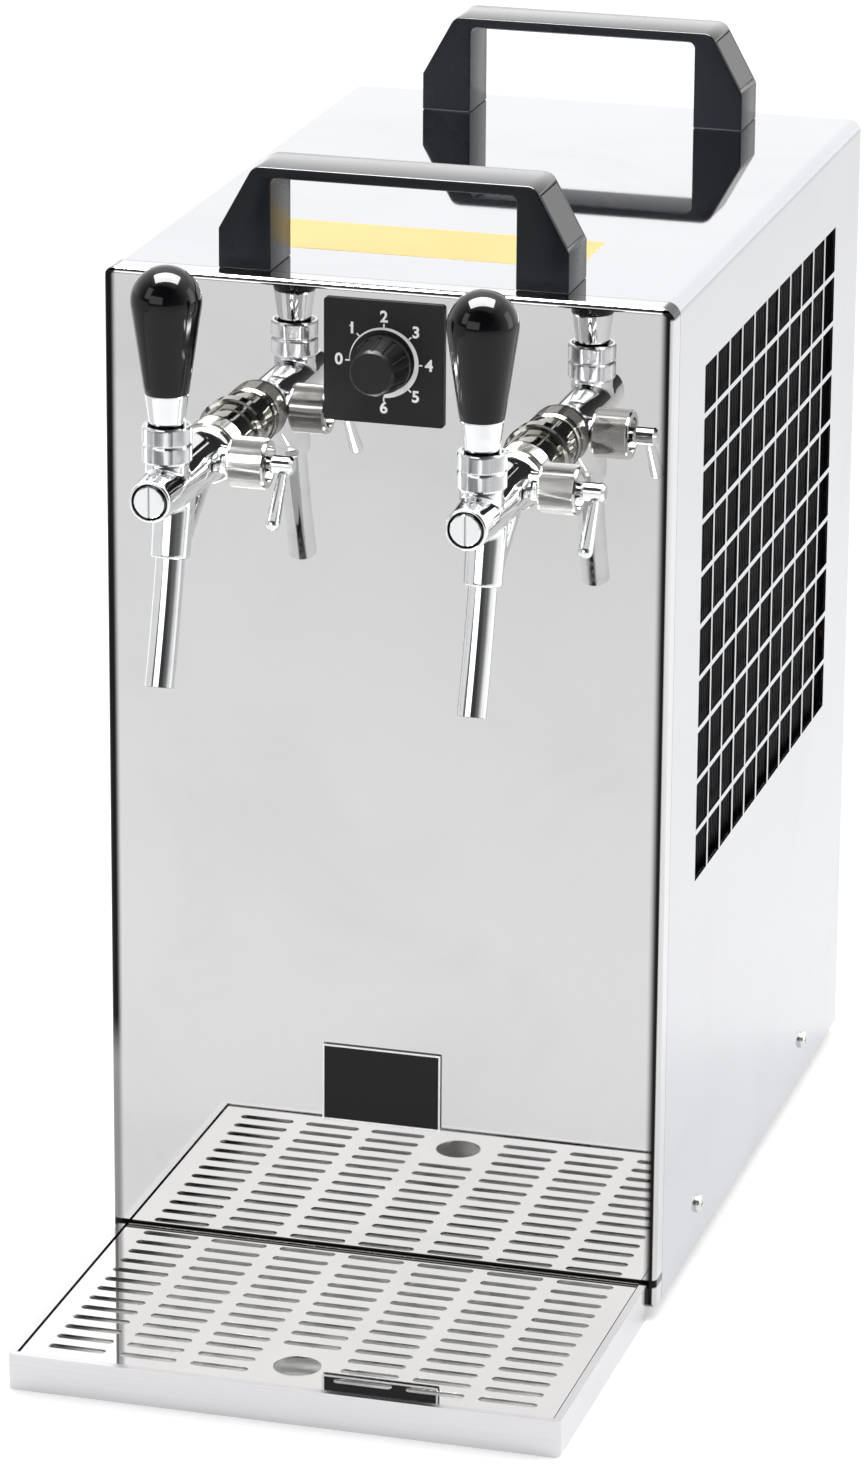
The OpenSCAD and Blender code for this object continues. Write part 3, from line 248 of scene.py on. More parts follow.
def folded_panel(name, low, high, rough):
    """Mirror sheet with painted dark reflections in its side folds and at its top corners, and painted shade
    where it meets the tray.
    """
    f = polished_sheet(name, low, high, rough)
    x, _, z = f.axes()
    (left, _, _), (right, _, top) = PANEL
    # Painted dark reflection in the left fold, at 0.6 strength below 95 mm and full above 120 mm.
    faint, fade_z0, fade_z1 = 0.6, 95 * MM, 120 * MM
    strength = f.calc("ADD", f.step(z, fade_z0, fade_z1, 1 - faint), faint)
    f.shade(f.calc("MULTIPLY", f.step(x, left + 6.0 * MM, left + 3.2 * MM), strength), PAINTED_SHADE)
    # Painted dark reflection in the right fold.
    inner = f.step(x, right - 6.5 * MM, right - 2.7 * MM)
    outer = f.step(x, right - 1.4 * MM, right - 1.95 * MM)
    f.shade(f.calc("MULTIPLY", inner, outer), PAINTED_SHADE)
    # Painted dark reflection round the panel's top corners.
    corner, notch_r0, notch_r1, notch_edge = 6 * MM, 3.0 * MM, 4.0 * MM, 1.5 * MM
    over_x = f.calc("MAXIMUM", f.calc("SUBTRACT", f.calc("ABSOLUTE", x), right - corner), 0.0)
    over_z = f.calc("MAXIMUM", f.calc("SUBTRACT", z, top - corner), 0.0)
    both = f.calc("MULTIPLY", f.step(over_x, 0.0, notch_edge), f.step(over_z, 0.0, notch_edge))
    notch = f.step(f.length(over_x, over_z), notch_r0, notch_r1)
    f.shade(f.calc("MULTIPLY", notch, both), PAINTED_SHADE)
    # Painted shade in a band where the panel meets the tray's rim.
    rim = TRAY[1][2]
    above, below = f.step(z, rim + 1.5 * MM, rim + 1.1 * MM), f.step(z, rim - 3 * MM, rim - 2 * MM)
    f.shade(f.calc("MULTIPLY", above, below), PAINTED_SHADE)
    return f.material


def brushed_sheet(name, low, high, across, rough):
    """Satin-rolled stainless steel with fine lines in one direction."""
    f = Finish(name, metallic=1.0)
    line = f.group(BRUSHING, Across=across, Contrast=0.9).outputs["Line"]
    smudge = f.group(SMUDGES, Size=7.0, Cover=0.4).outputs["Mask"]
    f.colour(line, low, high)
    f.gloss(smudge, rough, rough + 0.06)
    f.relief(line, 0.03, 0.0002)
    return f


def tray_sheet(name, low, high, across, rough):
    """Satin tray steel with a duller floor and painted shade on its rear rim."""
    f = brushed_sheet(name, low, high, across, rough)
    _, y, z = f.axes()
    rear, rim = TRAY[1][1:]
    floor_tone, floor_rough = (0.70, 0.70, 0.69), 0.42
    sunk = f.step(z, rim - 2 * MM, rim - 4 * MM)
    floor = f.calc("MULTIPLY", f.step(f.facing_up(), 0.5, 0.9), sunk)
    f.shade(floor, floor_tone)
    f.gloss(floor, rough, floor_rough)
    # Painted shade along the tray's rear rim.
    f.shade(f.step(y, rear - 3.2 * MM, rear - 2.4 * MM), PAINTED_RIM_SHADE)
    return f.material


def bright_plate(name, clear, hazed, rough):
    """Plated metal with a faint haze from handling."""
    f = Finish(name, metallic=1.0)
    haze = f.group(SMUDGES, Size=60.0, Cover=0.45).outputs["Mask"]
    f.colour(haze, clear, hazed)
    f.gloss(haze, rough, rough + 0.055)
    return f


def plug_plate(name, clear, hazed, rough):
    """Plated screw plugs with painted shade in the joint round the face and in the slot."""
    f = bright_plate(name, clear, hazed, rough)
    x, _, z = f.axes()
    (_, _, low), (_, _, high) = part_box("front_plugs")
    off_x = f.calc("SUBTRACT", f.calc("ABSOLUTE", x), TAP_X)
    off_z = f.calc("SUBTRACT", z, (low + high) / 2)
    face_r = (high - low) / 2 - 0.9 * MM
    # Painted shade in the joint round the edge of the plug's face.
    f.shade(f.step(f.length(off_x, off_z), face_r - 0.05 * MM, face_r + 0.1 * MM), PAINTED_SHADE)
    # Painted shade in the slot, at 0.4 strength.
    slot_half, slot_shade = 0.5 * MM, 0.4
    f.shade(f.step(f.calc("ABSOLUTE", off_x), slot_half, slot_half - 0.12 * MM, slot_shade), PAINTED_SHADE)
    return f.material


def cast_metal(name, low, high, rough, bump_size=900.0, depth=0.08):
    """Plain worked metal: zinc, copper, brass or aluminium."""
    f = Finish(name, metallic=1.0)
    skin = f.group(PEBBLING, Bump_Size=bump_size, Tone_Size=45.0)
    f.colour(skin.outputs["Tone"], low, high)
    f.gloss(skin.outputs["Tone"], rough, rough + 0.12)
    f.relief(skin.outputs["Height"], depth, 0.0003)
    return f.material


def moulded(name, low, high, rough, bump_size=1400.0, depth=0.12, shine=0.5):
    """Moulded plastic, rubber or paint."""
    f = Finish(name, Specular_IOR_Level=shine)
    skin = f.group(PEBBLING, Bump_Size=bump_size, Tone_Size=24.0)
    f.colour(skin.outputs["Tone"], low, high)
    f.gloss(skin.outputs["Tone"], rough, rough + 0.08)
    f.relief(skin.outputs["Height"], depth, 0.0002)
    return f.material


def handle_skin(name, low, high, rough):
    """Fine-grained handle plastic with a polished film on the faces that look up."""
    f = Finish(name, Specular_IOR_Level=0.18, Coat_Roughness=0.12)
    skin = f.group(PEBBLING, Bump_Size=2600.0, Tone_Size=24.0)
    f.colour(skin.outputs["Tone"], low, high)
    f.gloss(skin.outputs["Tone"], rough, rough + 0.08)
    f.relief(skin.outputs["Height"], 0.05, 0.0002)
    film = ramp(f.material.node_tree, f.facing_up(), 0.3, 0.9, 0.0, 0.85)
    f.links.new(film, f.shader.inputs["Coat Weight"])
    return f.material


# Painted shade: the dark tone of the painted reflections in the panel's folds and of the painted shade in
# the plugs' joints and slots.
PAINTED_SHADE = (0.012, 0.012, 0.012)
# Painted shade on the tray's rear rim.
PAINTED_RIM_SHADE = (0.17, 0.165, 0.15)
ROLLED_X = (6, 1300, 1300)
PANEL_LOW, PANEL_HIGH = (0.545, 0.54, 0.54), (0.585, 0.58, 0.58)
CHROME_CLEAR, CHROME_HAZED = (0.80, 0.81, 0.82), (0.72, 0.73, 0.74)
FINISHES = {
    "mirror_steel": polished_sheet("mirror_steel", PANEL_LOW, PANEL_HIGH, 0.012).material,
    "satin_steel": brushed_sheet("satin_steel",
        (0.70, 0.70, 0.715), (0.78, 0.78, 0.79), ROLLED_X, 0.12).material,
    "zinc_steel": cast_metal("zinc_steel", (0.50, 0.51, 0.53), (0.62, 0.63, 0.65), 0.34),
    "bright_screw": cast_metal("bright_screw", (0.62, 0.62, 0.63), (0.74, 0.74, 0.75), 0.2, 1500.0, 0.04),
    "chrome": bright_plate("chrome", CHROME_CLEAR, CHROME_HAZED, 0.035).material,
    "brass": cast_metal("brass", (0.62, 0.42, 0.16), (0.74, 0.53, 0.22), 0.24),
    "copper": cast_metal("copper", (0.60, 0.26, 0.14), (0.75, 0.36, 0.20), 0.28),
    "aluminium": cast_metal("aluminium", (0.70, 0.71, 0.72), (0.80, 0.81, 0.82), 0.32),
    "black_paint": moulded("black_paint",
        (0.006, 0.006, 0.007), (0.012, 0.012, 0.013), 0.36, 2200.0, 0.08, 0.3),
    "black_rubber": moulded("black_rubber",
        (0.010, 0.010, 0.010), (0.022, 0.022, 0.022), 0.62, 1800.0, 0.2),
    "handle_plastic": handle_skin("handle_plastic", (0.005, 0.006, 0.009), (0.009, 0.010, 0.014), 0.24),
    "grip_plastic": moulded("grip_plastic",
        (0.002, 0.002, 0.003), (0.004, 0.004, 0.005), 0.03, 500.0, 0.01, 0.28),
    "knob_plastic": moulded("knob_plastic",
        (0.005, 0.005, 0.006), (0.010, 0.010, 0.011), 0.30, 2400.0, 0.08, 0.3),
    "scale_plastic": moulded("scale_plastic",
        (0.008, 0.008, 0.009), (0.013, 0.013, 0.014), 0.38, 2600.0, 0.06, 0.22),
    "plate_black": moulded("plate_black",
        (0.005, 0.005, 0.006), (0.009, 0.009, 0.010), 0.30, 2600.0, 0.04, 0.2),
    "white_plastic": moulded("white_plastic", (0.72, 0.72, 0.70), (0.82, 0.82, 0.80), 0.34),
    "blue_plastic": moulded("blue_plastic", (0.02, 0.09, 0.36), (0.03, 0.13, 0.46), 0.34),
    "fan_plastic": moulded("fan_plastic", (0.020, 0.020, 0.022), (0.034, 0.034, 0.036), 0.40),
    "foam": moulded("foam", (0.58, 0.54, 0.42), (0.70, 0.66, 0.52), 0.85, 420.0, 0.6),
    "hose": moulded("hose", (0.60, 0.62, 0.62), (0.72, 0.74, 0.74), 0.30, 800.0, 0.03),
}
# A darker copy of the chrome for the union nuts and shanks: painted dark reflection.
DARK_REFLECTION_PLATE = bright_plate("dull_plate", (0.36, 0.355, 0.33), (0.29, 0.285, 0.26), 0.07).material
# A darker, less glossy copy of the chrome, for the compensator sleeves.
DARKER_PLATE = bright_plate("worn_plate", (0.64, 0.635, 0.62), (0.56, 0.555, 0.54), 0.07).material
OWN_FINISH = {
    "cover": polished_sheet("polished_cover", (0.475, 0.48, 0.505), (0.51, 0.515, 0.54), 0.03).material,
    "front_panel": folded_panel("folded_panel", PANEL_LOW, PANEL_HIGH, 0.012),
    "drip_tray": tray_sheet("tray_steel", (0.60, 0.60, 0.615), (0.68, 0.68, 0.69), ROLLED_X, 0.12),
    "drip_grid": polished_sheet("grid_steel", (0.65, 0.645, 0.64), (0.70, 0.695, 0.69), 0.012).material,
    "front_plugs": plug_plate("plug_plate", CHROME_CLEAR, CHROME_HAZED, 0.035),
    "shank_left": DARK_REFLECTION_PLATE,
    "shank_right": DARK_REFLECTION_PLATE,
}
WHITE_INK = moulded("white_ink", (0.92, 0.92, 0.91), (0.97, 0.97, 0.96), 0.45, 3000.0, 0.05)
YELLOW_STRIP = moulded("yellow_strip", (0.85, 0.61, 0.19), (0.89, 0.68, 0.26), 0.40, 2600.0, 0.03, 0.2)


def dress_solids():
    """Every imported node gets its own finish, or else the one of its slot."""
    for entry in record["subparts"]:
        finish = OWN_FINISH.get(entry["node"], FINISHES[entry["material_slot"]])
        for holder in frame["nodes"][entry["node"]].material_slots:
            holder.material = finish


# Shapes

def new_piece(name, mesh, material):
    mesh.materials.clear()
    mesh.materials.append(material)
    piece = bpy.data.objects.new(name, mesh)
    bpy.context.scene.collection.objects.link(piece)
    return piece


def smooth(mesh, angle=32):
    for face in mesh.polygons:
        face.use_smooth = True
    mesh.set_sharp_from_angle(angle=math.radians(angle))
    return mesh


def finished(bm, name):
    """A mesh from what was drawn, with its faces looking outward."""
    bmesh.ops.recalc_face_normals(bm, faces=bm.faces)
    mesh = bpy.data.meshes.new(name)
    bm.to_mesh(mesh)
    bm.free()
    return mesh


def prism(bm, near, far):
    """A closed block between two outlines with the same number of points."""
    low = [bm.verts.new(point) for point in near]
    high = [bm.verts.new(point) for point in far]
    bm.faces.new(high)
    bm.faces.new(low[::-1])
    for i in range(len(low)):
        j = (i + 1) % len(low)
        bm.faces.new((low[i], low[j], high[j], high[i]))


def curve_mesh(curve):
    """A curve's solid as a plain mesh."""
    holder = bpy.data.objects.new(curve.name, curve)
    bpy.context.scene.collection.objects.link(holder)
    depsgraph = bpy.context.evaluated_depsgraph_get()
    mesh = bpy.data.meshes.new_from_object(holder.evaluated_get(depsgraph))
    bpy.data.objects.remove(holder)
    return mesh


def turned(name, outline, steps=72, closed=False):
    """A turned mesh round Z from (radius, height) points in millimetres."""
    bm = bmesh.new()
    rings = []
    turns = [math.tau * i / steps for i in range(steps)]
    for r, h in outline:
        if r == 0:
            rings.append([bm.verts.new((0, 0, h * MM))])
        else:
            rings.append([bm.verts.new((r * MM * math.cos(a), r * MM * math.sin(a), h * MM)) for a in turns])
    pairs = list(zip(rings, rings[1:])) + ([(rings[-1], rings[0])] if closed else [])
    for low, high in pairs:
        for i in range(steps):
            j = (i + 1) % steps
            ring = [low[i % len(low)], low[j % len(low)], high[j % len(high)], high[i % len(high)]]
            face = list(dict.fromkeys(ring))
            if len(face) > 2:
                bm.faces.new(face)
    return smooth(finished(bm, name))


def gathered(name, parts):
    """One mesh from (mesh, place) pairs."""
    bm = bmesh.new()
    for mesh, place in parts:
        copy = mesh.copy()
        copy.transform(place)
        bm.from_mesh(copy)
        bpy.data.meshes.remove(copy)
    mesh = bpy.data.meshes.new(name)
    bm.to_mesh(mesh)
    bm.free()
    return mesh


def bake(piece):
    """The modifiers' result as the piece's own plain mesh."""
    depsgraph = bpy.context.evaluated_depsgraph_get()
    mesh = bpy.data.meshes.new_from_object(piece.evaluated_get(depsgraph))
    piece.modifiers.clear()
    piece.data = mesh
    return piece


def upright(side):
    """Z along a tap's handle."""
    return Matrix.Translation((side * TAP_X, LEVER_Y, TAP_Z))


def forward(side):
    """Z along a tap's barrel, out of the panel."""
    return Matrix.Translation((side * TAP_X, FRONT_Y, TAP_Z)) @ Matrix.Rotation(math.pi / 2, 4, "X")


def sideways(side):
    """Z along a tap's compensator, to the right."""
    return Matrix.Translation((side * TAP_X, COMP_Y, TAP_Z)) @ Matrix.Rotation(math.pi / 2, 4, "Y")


def settle(piece, body, slot, *nodes):
    """Tie a piece to its body, in place of the named nodes. The slot is not used."""
    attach(piece, body)
    if nodes:
        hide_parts(*nodes)


# Repeats made with Geometry Nodes

def node_tree(name, inputs):
    tree = bpy.data.node_groups.new(name, "GeometryNodeTree")
    tree.interface.new_socket(name="Geometry", in_out="INPUT", socket_type="NodeSocketGeometry")
    for label, kind in inputs:
        tree.interface.new_socket(name=label, in_out="INPUT", socket_type=kind)
    tree.interface.new_socket(name="Geometry", in_out="OUTPUT", socket_type="NodeSocketGeometry")
    return tree, tree.nodes.new("NodeGroupInput"), tree.nodes.new("NodeGroupOutput")


def add(tree, kind, **settings):
    node = tree.nodes.new(kind)
    for label, value in settings.items():
        setattr(node, label, value)
    return node


def coat_and_close(tree, given, out, spread, joined):
    """Real copies of what is spread, joined to the given mesh where asked, in the given material."""
    last = add(tree, "GeometryNodeRealizeInstances")
    tree.links.new(spread.outputs[0], last.inputs[0])
    if joined:
        copies, last = last, add(tree, "GeometryNodeJoinGeometry")
        tree.links.new(copies.outputs[0], last.inputs[0])
        tree.links.new(given.outputs["Geometry"], last.inputs[0])
    coat = add(tree, "GeometryNodeSetMaterial")
    tree.links.new(last.outputs[0], coat.inputs["Geometry"])
    tree.links.new(given.outputs["Material"], coat.inputs["Material"])
    tree.links.new(coat.outputs[0], out.inputs[0])
    return tree


def diamond_knurl_tree():
    """Rows of small pyramids round a ring, every second row half a tooth on."""
    tree, given, out = node_tree("diamond_knurl", [
        ("Radius", "NodeSocketFloat"), ("Start", "NodeSocketFloat"), ("Length", "NodeSocketFloat"),
        ("Teeth", "NodeSocketInt"), ("Rows", "NodeSocketInt"), ("Depth", "NodeSocketFloat"),
        ("Material", "NodeSocketMaterial")])
    link = tree.links.new
    teeth, rows = given.outputs["Teeth"], given.outputs["Rows"]
    points = add(tree, "GeometryNodePoints")
    link(maths(tree, "MULTIPLY", teeth, rows), points.inputs["Count"])
    number = add(tree, "GeometryNodeInputIndex").outputs[0]
    column = maths(tree, "FLOORED_MODULO", number, teeth)
    row = maths(tree, "FLOOR", maths(tree, "DIVIDE", number, teeth))
    shift = maths(tree, "MULTIPLY", maths(tree, "FLOORED_MODULO", row, 2.0), 0.5)
    turns = maths(tree, "ADD", column, shift)
    angle = maths(tree, "DIVIDE", maths(tree, "MULTIPLY", turns, math.tau), teeth)
    pitch = maths(tree, "DIVIDE", given.outputs["Length"], maths(tree, "ADD", rows, 1.0))
    height = maths(tree, "MULTIPLY_ADD", maths(tree, "ADD", row, 1.0), pitch, given.outputs["Start"])
    where = add(tree, "ShaderNodeCombineXYZ")
    link(maths(tree, "MULTIPLY", given.outputs["Radius"], maths(tree, "COSINE", angle)), where.inputs[0])
    link(maths(tree, "MULTIPLY", given.outputs["Radius"], maths(tree, "SINE", angle)), where.inputs[1])
    link(height, where.inputs[2])
    link(where.outputs[0], points.inputs["Position"])
    turn = add(tree, "ShaderNodeCombineXYZ")
    turn.inputs[0].default_value = math.pi / 2
    link(maths(tree, "ADD", angle, math.pi / 2), turn.inputs[2])
    rotation = add(tree, "FunctionNodeEulerToRotation")
    link(turn.outputs[0], rotation.inputs[0])
    tooth = add(tree, "GeometryNodeMeshCone", fill_type="NONE")
    tooth.inputs["Vertices"].default_value = 4
    tooth.inputs["Radius Top"].default_value = 0.12
    tooth.inputs["Radius Bottom"].default_value = 1.0
    tooth.inputs["Depth"].default_value = 1.0
    size = add(tree, "ShaderNodeCombineXYZ")
    half_way_round = maths(tree, "MULTIPLY", given.outputs["Radius"], math.pi)
    link(maths(tree, "DIVIDE", half_way_round, teeth), size.inputs[0])
    link(pitch, size.inputs[1])
    link(given.outputs["Depth"], size.inputs[2])
    spread = add(tree, "GeometryNodeInstanceOnPoints")
    link(points.outputs[0], spread.inputs["Points"])
    link(tooth.outputs["Mesh"], spread.inputs["Instance"])
    link(rotation.outputs[0], spread.inputs["Rotation"])
    link(size.outputs[0], spread.inputs["Scale"])
    return coat_and_close(tree, given, out, spread, joined=True)


def set_inputs(modifier, tree, values):
    modifier.node_group = tree
    for item in tree.interface.items_tree:
        if item.in_out == "INPUT" and item.name in values:
            modifier[item.identifier] = values[item.name]


KNURL = diamond_knurl_tree()


def knurled(name, outline, radius, start, length, teeth, rows, depth, opening=None):
    """A turned ring with a diamond knurl round its outside, as a mesh on Z."""
    blank = new_piece(name, turned(name, outline, closed=True), FINISHES["chrome"])
    if opening:
        cut = blank.modifiers.new("opening", "BOOLEAN")
        cut.solver = "EXACT"
        cut.object = opening
    set_inputs(blank.modifiers.new("knurl", "NODES"), KNURL, {
        "Radius": (radius - depth / 2) * MM, "Start": start * MM, "Length": length * MM,
        "Teeth": teeth, "Rows": rows, "Depth": depth * MM, "Material": FINISHES["chrome"]})
    mesh = bake(blank).data
    bpy.data.objects.remove(blank)
    return mesh


def lever_opening():
    """The room that a tilting lever sweeps through its nut, as a cutting block."""
    lean, half, pivot, top = math.radians(31), 2.4, 8, 26
    slant = half / math.cos(lean)
    side_view = [(slant, pivot), (half, pivot + half), (half, top),
                 ((pivot - top) * math.tan(lean) - slant, top), (-slant, pivot)]
    bm = bmesh.new()
    prism(bm, *([(x * MM, y * MM, z * MM) for y, z in side_view] for x in (-half, half)))
    return new_piece("lever_opening", finished(bm, "lever_opening"), FINISHES["chrome"])


def knurled_rings():
    """The taps' nuts and compensator sleeves, from (radius, height) points in millimetres."""
    opening = lever_opening()
    union = knurled("union_nut", [
        (11.6, 21), (12.9, 21), (13.35, 21.5), (13.35, 24.1), (13.8, 24.4), (13.8, 25.0), (13.35, 25.3),
        (13.35, 36.6), (13.8, 36.9), (13.8, 37.5), (13.3, 38), (9.2, 38), (9.2, 36), (11.6, 36)],
        radius=13.6, start=25.2, length=11.5, teeth=66, rows=17, depth=0.3)
    bonnet = knurled("bonnet_nut", [
        (8.8, 12), (10.4, 12), (10.55, 12.3), (10.55, 19.3), (10.2, 20.1), (8.4, 21.4), (6.2, 22.7),
        (3.4, 23.65), (3.4, 16.2), (8.8, 16.2)],
        radius=10.75, start=12.4, length=6.8, teeth=56, rows=11, depth=0.28, opening=opening)
    bpy.data.objects.remove(opening)
    locknut = knurled("handle_locknut", [
        (2.2, 24.15), (3.4, 23.95), (6.3, 23.0), (8.6, 21.7), (10.55, 20.25), (10.55, 27.5), (10.4, 28),
        (9.3, 28), (9.3, 26), (2.2, 26)],
        radius=10.75, start=20.5, length=6.8, teeth=56, rows=11, depth=0.28)
    sleeve = knurled("compensator_sleeve", [
        (3.5, 14.4), (10.5, 14.4), (10.8, 14.8), (10.8, 30.6), (10.5, 31.2), (8, 31.2), (8, 29.7),
        (3.5, 29.7)],
        radius=11.0, start=14.9, length=15.6, teeth=58, rows=24, depth=0.36)
    chrome = FINISHES["chrome"]
    pair = [gathered(m.name + "s", [(m, place(s)) for _, s in SIDES])
            for m, place in ((union, forward), (bonnet, upright), (sleeve, sideways))]
    # The union nuts take the chrome with painted dark reflection, the sleeves a darker copy of the chrome.
    for mesh, node, finish in zip(pair, ("union_nuts", "bonnet_nuts", "compensator_sleeves"),
                                  (DARK_REFLECTION_PLATE, chrome, DARKER_PLATE)):
        settle(new_piece("knurled_" + node, mesh, finish), "cabinet", "chrome", node)
    for word, s in SIDES:
        mesh = gathered("locknut_" + word, [(locknut, upright(s))])
        settle(new_piece("knurled_locknut_" + word, mesh, chrome), "handle_" + word, "chrome",
               "handle_locknut_" + word)


def merged_copy(node, whole_faces):
    """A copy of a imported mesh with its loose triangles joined, and its flat faces whole where asked."""
    bm = bmesh.new()
    bm.from_mesh(frame["nodes"][node].data)
    bmesh.ops.remove_doubles(bm, verts=bm.verts, dist=1e-6)
    if whole_faces:
        bmesh.ops.dissolve_limit(bm, angle_limit=math.radians(1), verts=bm.verts, edges=bm.edges)
    mesh = bpy.data.meshes.new("copy_of_" + node)
    bm.to_mesh(mesh)
    bm.free()
    return mesh


def rounded_copy(name, node, material, width, segments, soft):
    """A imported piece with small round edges, or with flat chamfers."""
    piece = new_piece(name, merged_copy(node, whole_faces=True), material)
    edge = piece.modifiers.new("edge", "BEVEL")
    edge.width = width * MM
    edge.segments = segments
    edge.limit_method = "ANGLE"
    edge.angle_limit = math.radians(40)
    bake(piece)
    if soft:
        smooth(piece.data, 30)
    else:
        piece.data.shade_flat()
    return piece


def tap_castings():
    """The cast tap bodies, with the soft inner corners of a casting."""
    for word, _ in SIDES:
        node = "tap_body_" + word
        piece = new_piece("cast_" + node, merged_copy(node, whole_faces=False), FINISHES["chrome"])
        melt = piece.modifiers.new("melt", "REMESH")
        melt.mode = "VOXEL"
        melt.voxel_size = 0.5 * MM
        melt.use_smooth_shade = True
        ease = piece.modifiers.new("ease", "SMOOTH")
        ease.factor = 0.5
        ease.iterations = 22
        bake(piece)
        smooth(piece.data, 60)
        piece.data.materials.clear()
        piece.data.materials.append(FINISHES["chrome"])
        settle(piece, "cabinet", "chrome", node)


def carry_handles():
    """The carry handles with the small rounded edges of a moulding."""
    for node in ("carry_handle_front", "carry_handle_rear"):
        piece = rounded_copy("moulded_" + node, node, FINISHES["handle_plastic"],
                             width=0.8, segments=3, soft=True)
        settle(piece, "cabinet", "handle_plastic", node)


def pressed_grid():
    """The drip grid with the small chamfers of pressed slots."""
    piece = rounded_copy("pressed_grid", "drip_grid", OWN_FINISH["drip_grid"],
                         width=0.35, segments=2, soft=False)
    settle(piece, "grid", "mirror_steel", "drip_grid")


def tap_grips():
    """Glossy black handles with a full, rounded crown."""
    bore_r, bore_top, foot, length, crown_r = 2.2, 52.2, 42, 56, 15.5
    foot_r, foot_h = 9.75, foot + 0.6
    outline = [(bore_r, foot), (9.15, foot), (9.55, foot + 0.15), (foot_r, foot_h)]
    crown = foot + length - crown_r
    low = math.radians(-8)
    top_r, top_h = crown_r * math.cos(low), crown + crown_r * math.sin(low)
    flank_steps, crown_steps = 12, 32
    for i in range(1, flank_steps):
        t = i / flank_steps
        outline.append((foot_r + (top_r - foot_r) * t, foot_h + (top_h - foot_h) * t))
    for i in range(crown_steps):
        a = low + (math.pi / 2 - low) * i / crown_steps
        outline.append((crown_r * math.cos(a), crown + crown_r * math.sin(a)))
    outline += [(0, crown + crown_r), (0, bore_top), (bore_r, bore_top), (bore_r, foot)]
    blank = turned("grip", outline, 96)
    for word, s in SIDES:
        mesh = smooth(gathered("grip_" + word, [(blank, upright(s))]))
        settle(new_piece("black_grip_" + word, mesh, FINISHES["grip_plastic"]), "handle_" + word,
               "grip_plastic", "handle_grip_" + word)


def screw_tree():
    """A screw on every marked face, standing along the face's normal."""
    tree, given, out = node_tree("screws_on_marks", [
        ("Screw", "NodeSocketObject"), ("Size", "NodeSocketFloat"), ("Material", "NodeSocketMaterial")])
    link = tree.links.new
    facing = add(tree, "GeometryNodeStoreNamedAttribute", data_type="FLOAT_VECTOR", domain="FACE")
    facing.inputs["Name"].default_value = "facing"
    link(given.outputs["Geometry"], facing.inputs["Geometry"])
    link(add(tree, "GeometryNodeInputNormal").outputs[0], facing.inputs["Value"])
    points = add(tree, "GeometryNodeMeshToPoints", mode="FACES")
    link(facing.outputs[0], points.inputs["Mesh"])
    named = add(tree, "GeometryNodeInputNamedAttribute", data_type="FLOAT_VECTOR")
    named.inputs["Name"].default_value = "facing"
    stand = add(tree, "FunctionNodeAlignRotationToVector", axis="Z")
    link(named.outputs[0], stand.inputs["Vector"])
    pattern = add(tree, "GeometryNodeObjectInfo")
    link(given.outputs["Screw"], pattern.inputs["Object"])
    spread = add(tree, "GeometryNodeInstanceOnPoints")
    link(points.outputs[0], spread.inputs["Points"])
    link(pattern.outputs["Geometry"], spread.inputs["Instance"])
    link(stand.outputs[0], spread.inputs["Rotation"])
    link(given.outputs["Size"], spread.inputs["Scale"])
    return coat_and_close(tree, given, out, spread, joined=False)


def cross_head():
    """A pan head of radius 1 on Z with a cross recess."""
    bm = bmesh.new()
    steps = 24
    rings = []
    turns = [math.tau * i / steps for i in range(steps)]
    top, pit_floor, pit_share = 0.54, 0.2, 0.8
    for r, h in ((1.0, 0.0), (1.0, 0.22), (0.93, 0.38), (0.74, 0.5), (0.56, top)):
        rings.append([bm.verts.new((r * math.cos(a), r * math.sin(a), h)) for a in turns])
    for low, high in zip(rings, rings[1:]):
        for i in range(steps):
            j = (i + 1) % steps
            bm.faces.new((low[i], low[j], high[j], high[i]))
    bm.faces.new(rings[0][::-1])
    a, b = 0.1, 0.46
    cross = [(b, -a), (b, a), (a, a), (a, b), (-a, b), (-a, a),
             (-b, a), (-b, -a), (-a, -a), (-a, -b), (a, -b), (a, -a)]
    lip = [bm.verts.new((x, y, top)) for x, y in cross]
    pit = [bm.verts.new((x * pit_share, y * pit_share, pit_floor)) for x, y in cross]
    for i in range(len(cross)):
        j = (i + 1) % len(cross)
        bm.faces.new((lip[j], lip[i], pit[i], pit[j]))
    bm.faces.new(pit)
    edges = [e for e in bm.edges if e.is_boundary]
    bmesh.ops.triangle_fill(bm, edges=edges, use_beauty=True)
    return smooth(finished(bm, "cross_head"), 40)


def screws(name, radius, places, *nodes):
    """Cross-recess screws at (point, direction) places on the cabinet."""
    pattern = new_piece("screw_pattern", cross_head(), FINISHES["bright_screw"])
    corners, faces, half = [], [], 0.1 * MM
    for point, way in places:
        turn = Vector(way).to_track_quat("Z", "Y").to_matrix()
        start = len(corners)
        for x, y in ((half, -half), (half, half), (-half, half), (-half, -half)):
            corners.append(Vector(point) + turn @ Vector((x, y, 0)))
        faces.append(tuple(range(start, start + 4)))
    marks = bpy.data.meshes.new(name)
    marks.from_pydata(corners, [], faces)
    piece = new_piece(name, marks, FINISHES["bright_screw"])
    set_inputs(piece.modifiers.new("screws", "NODES"), SCREWS, {
        "Screw": pattern, "Size": radius, "Material": FINISHES["bright_screw"]})
    bake(piece)
    bpy.data.objects.remove(pattern)
    settle(piece, "cabinet", "bright_screw", *nodes)


SCREWS = screw_tree()


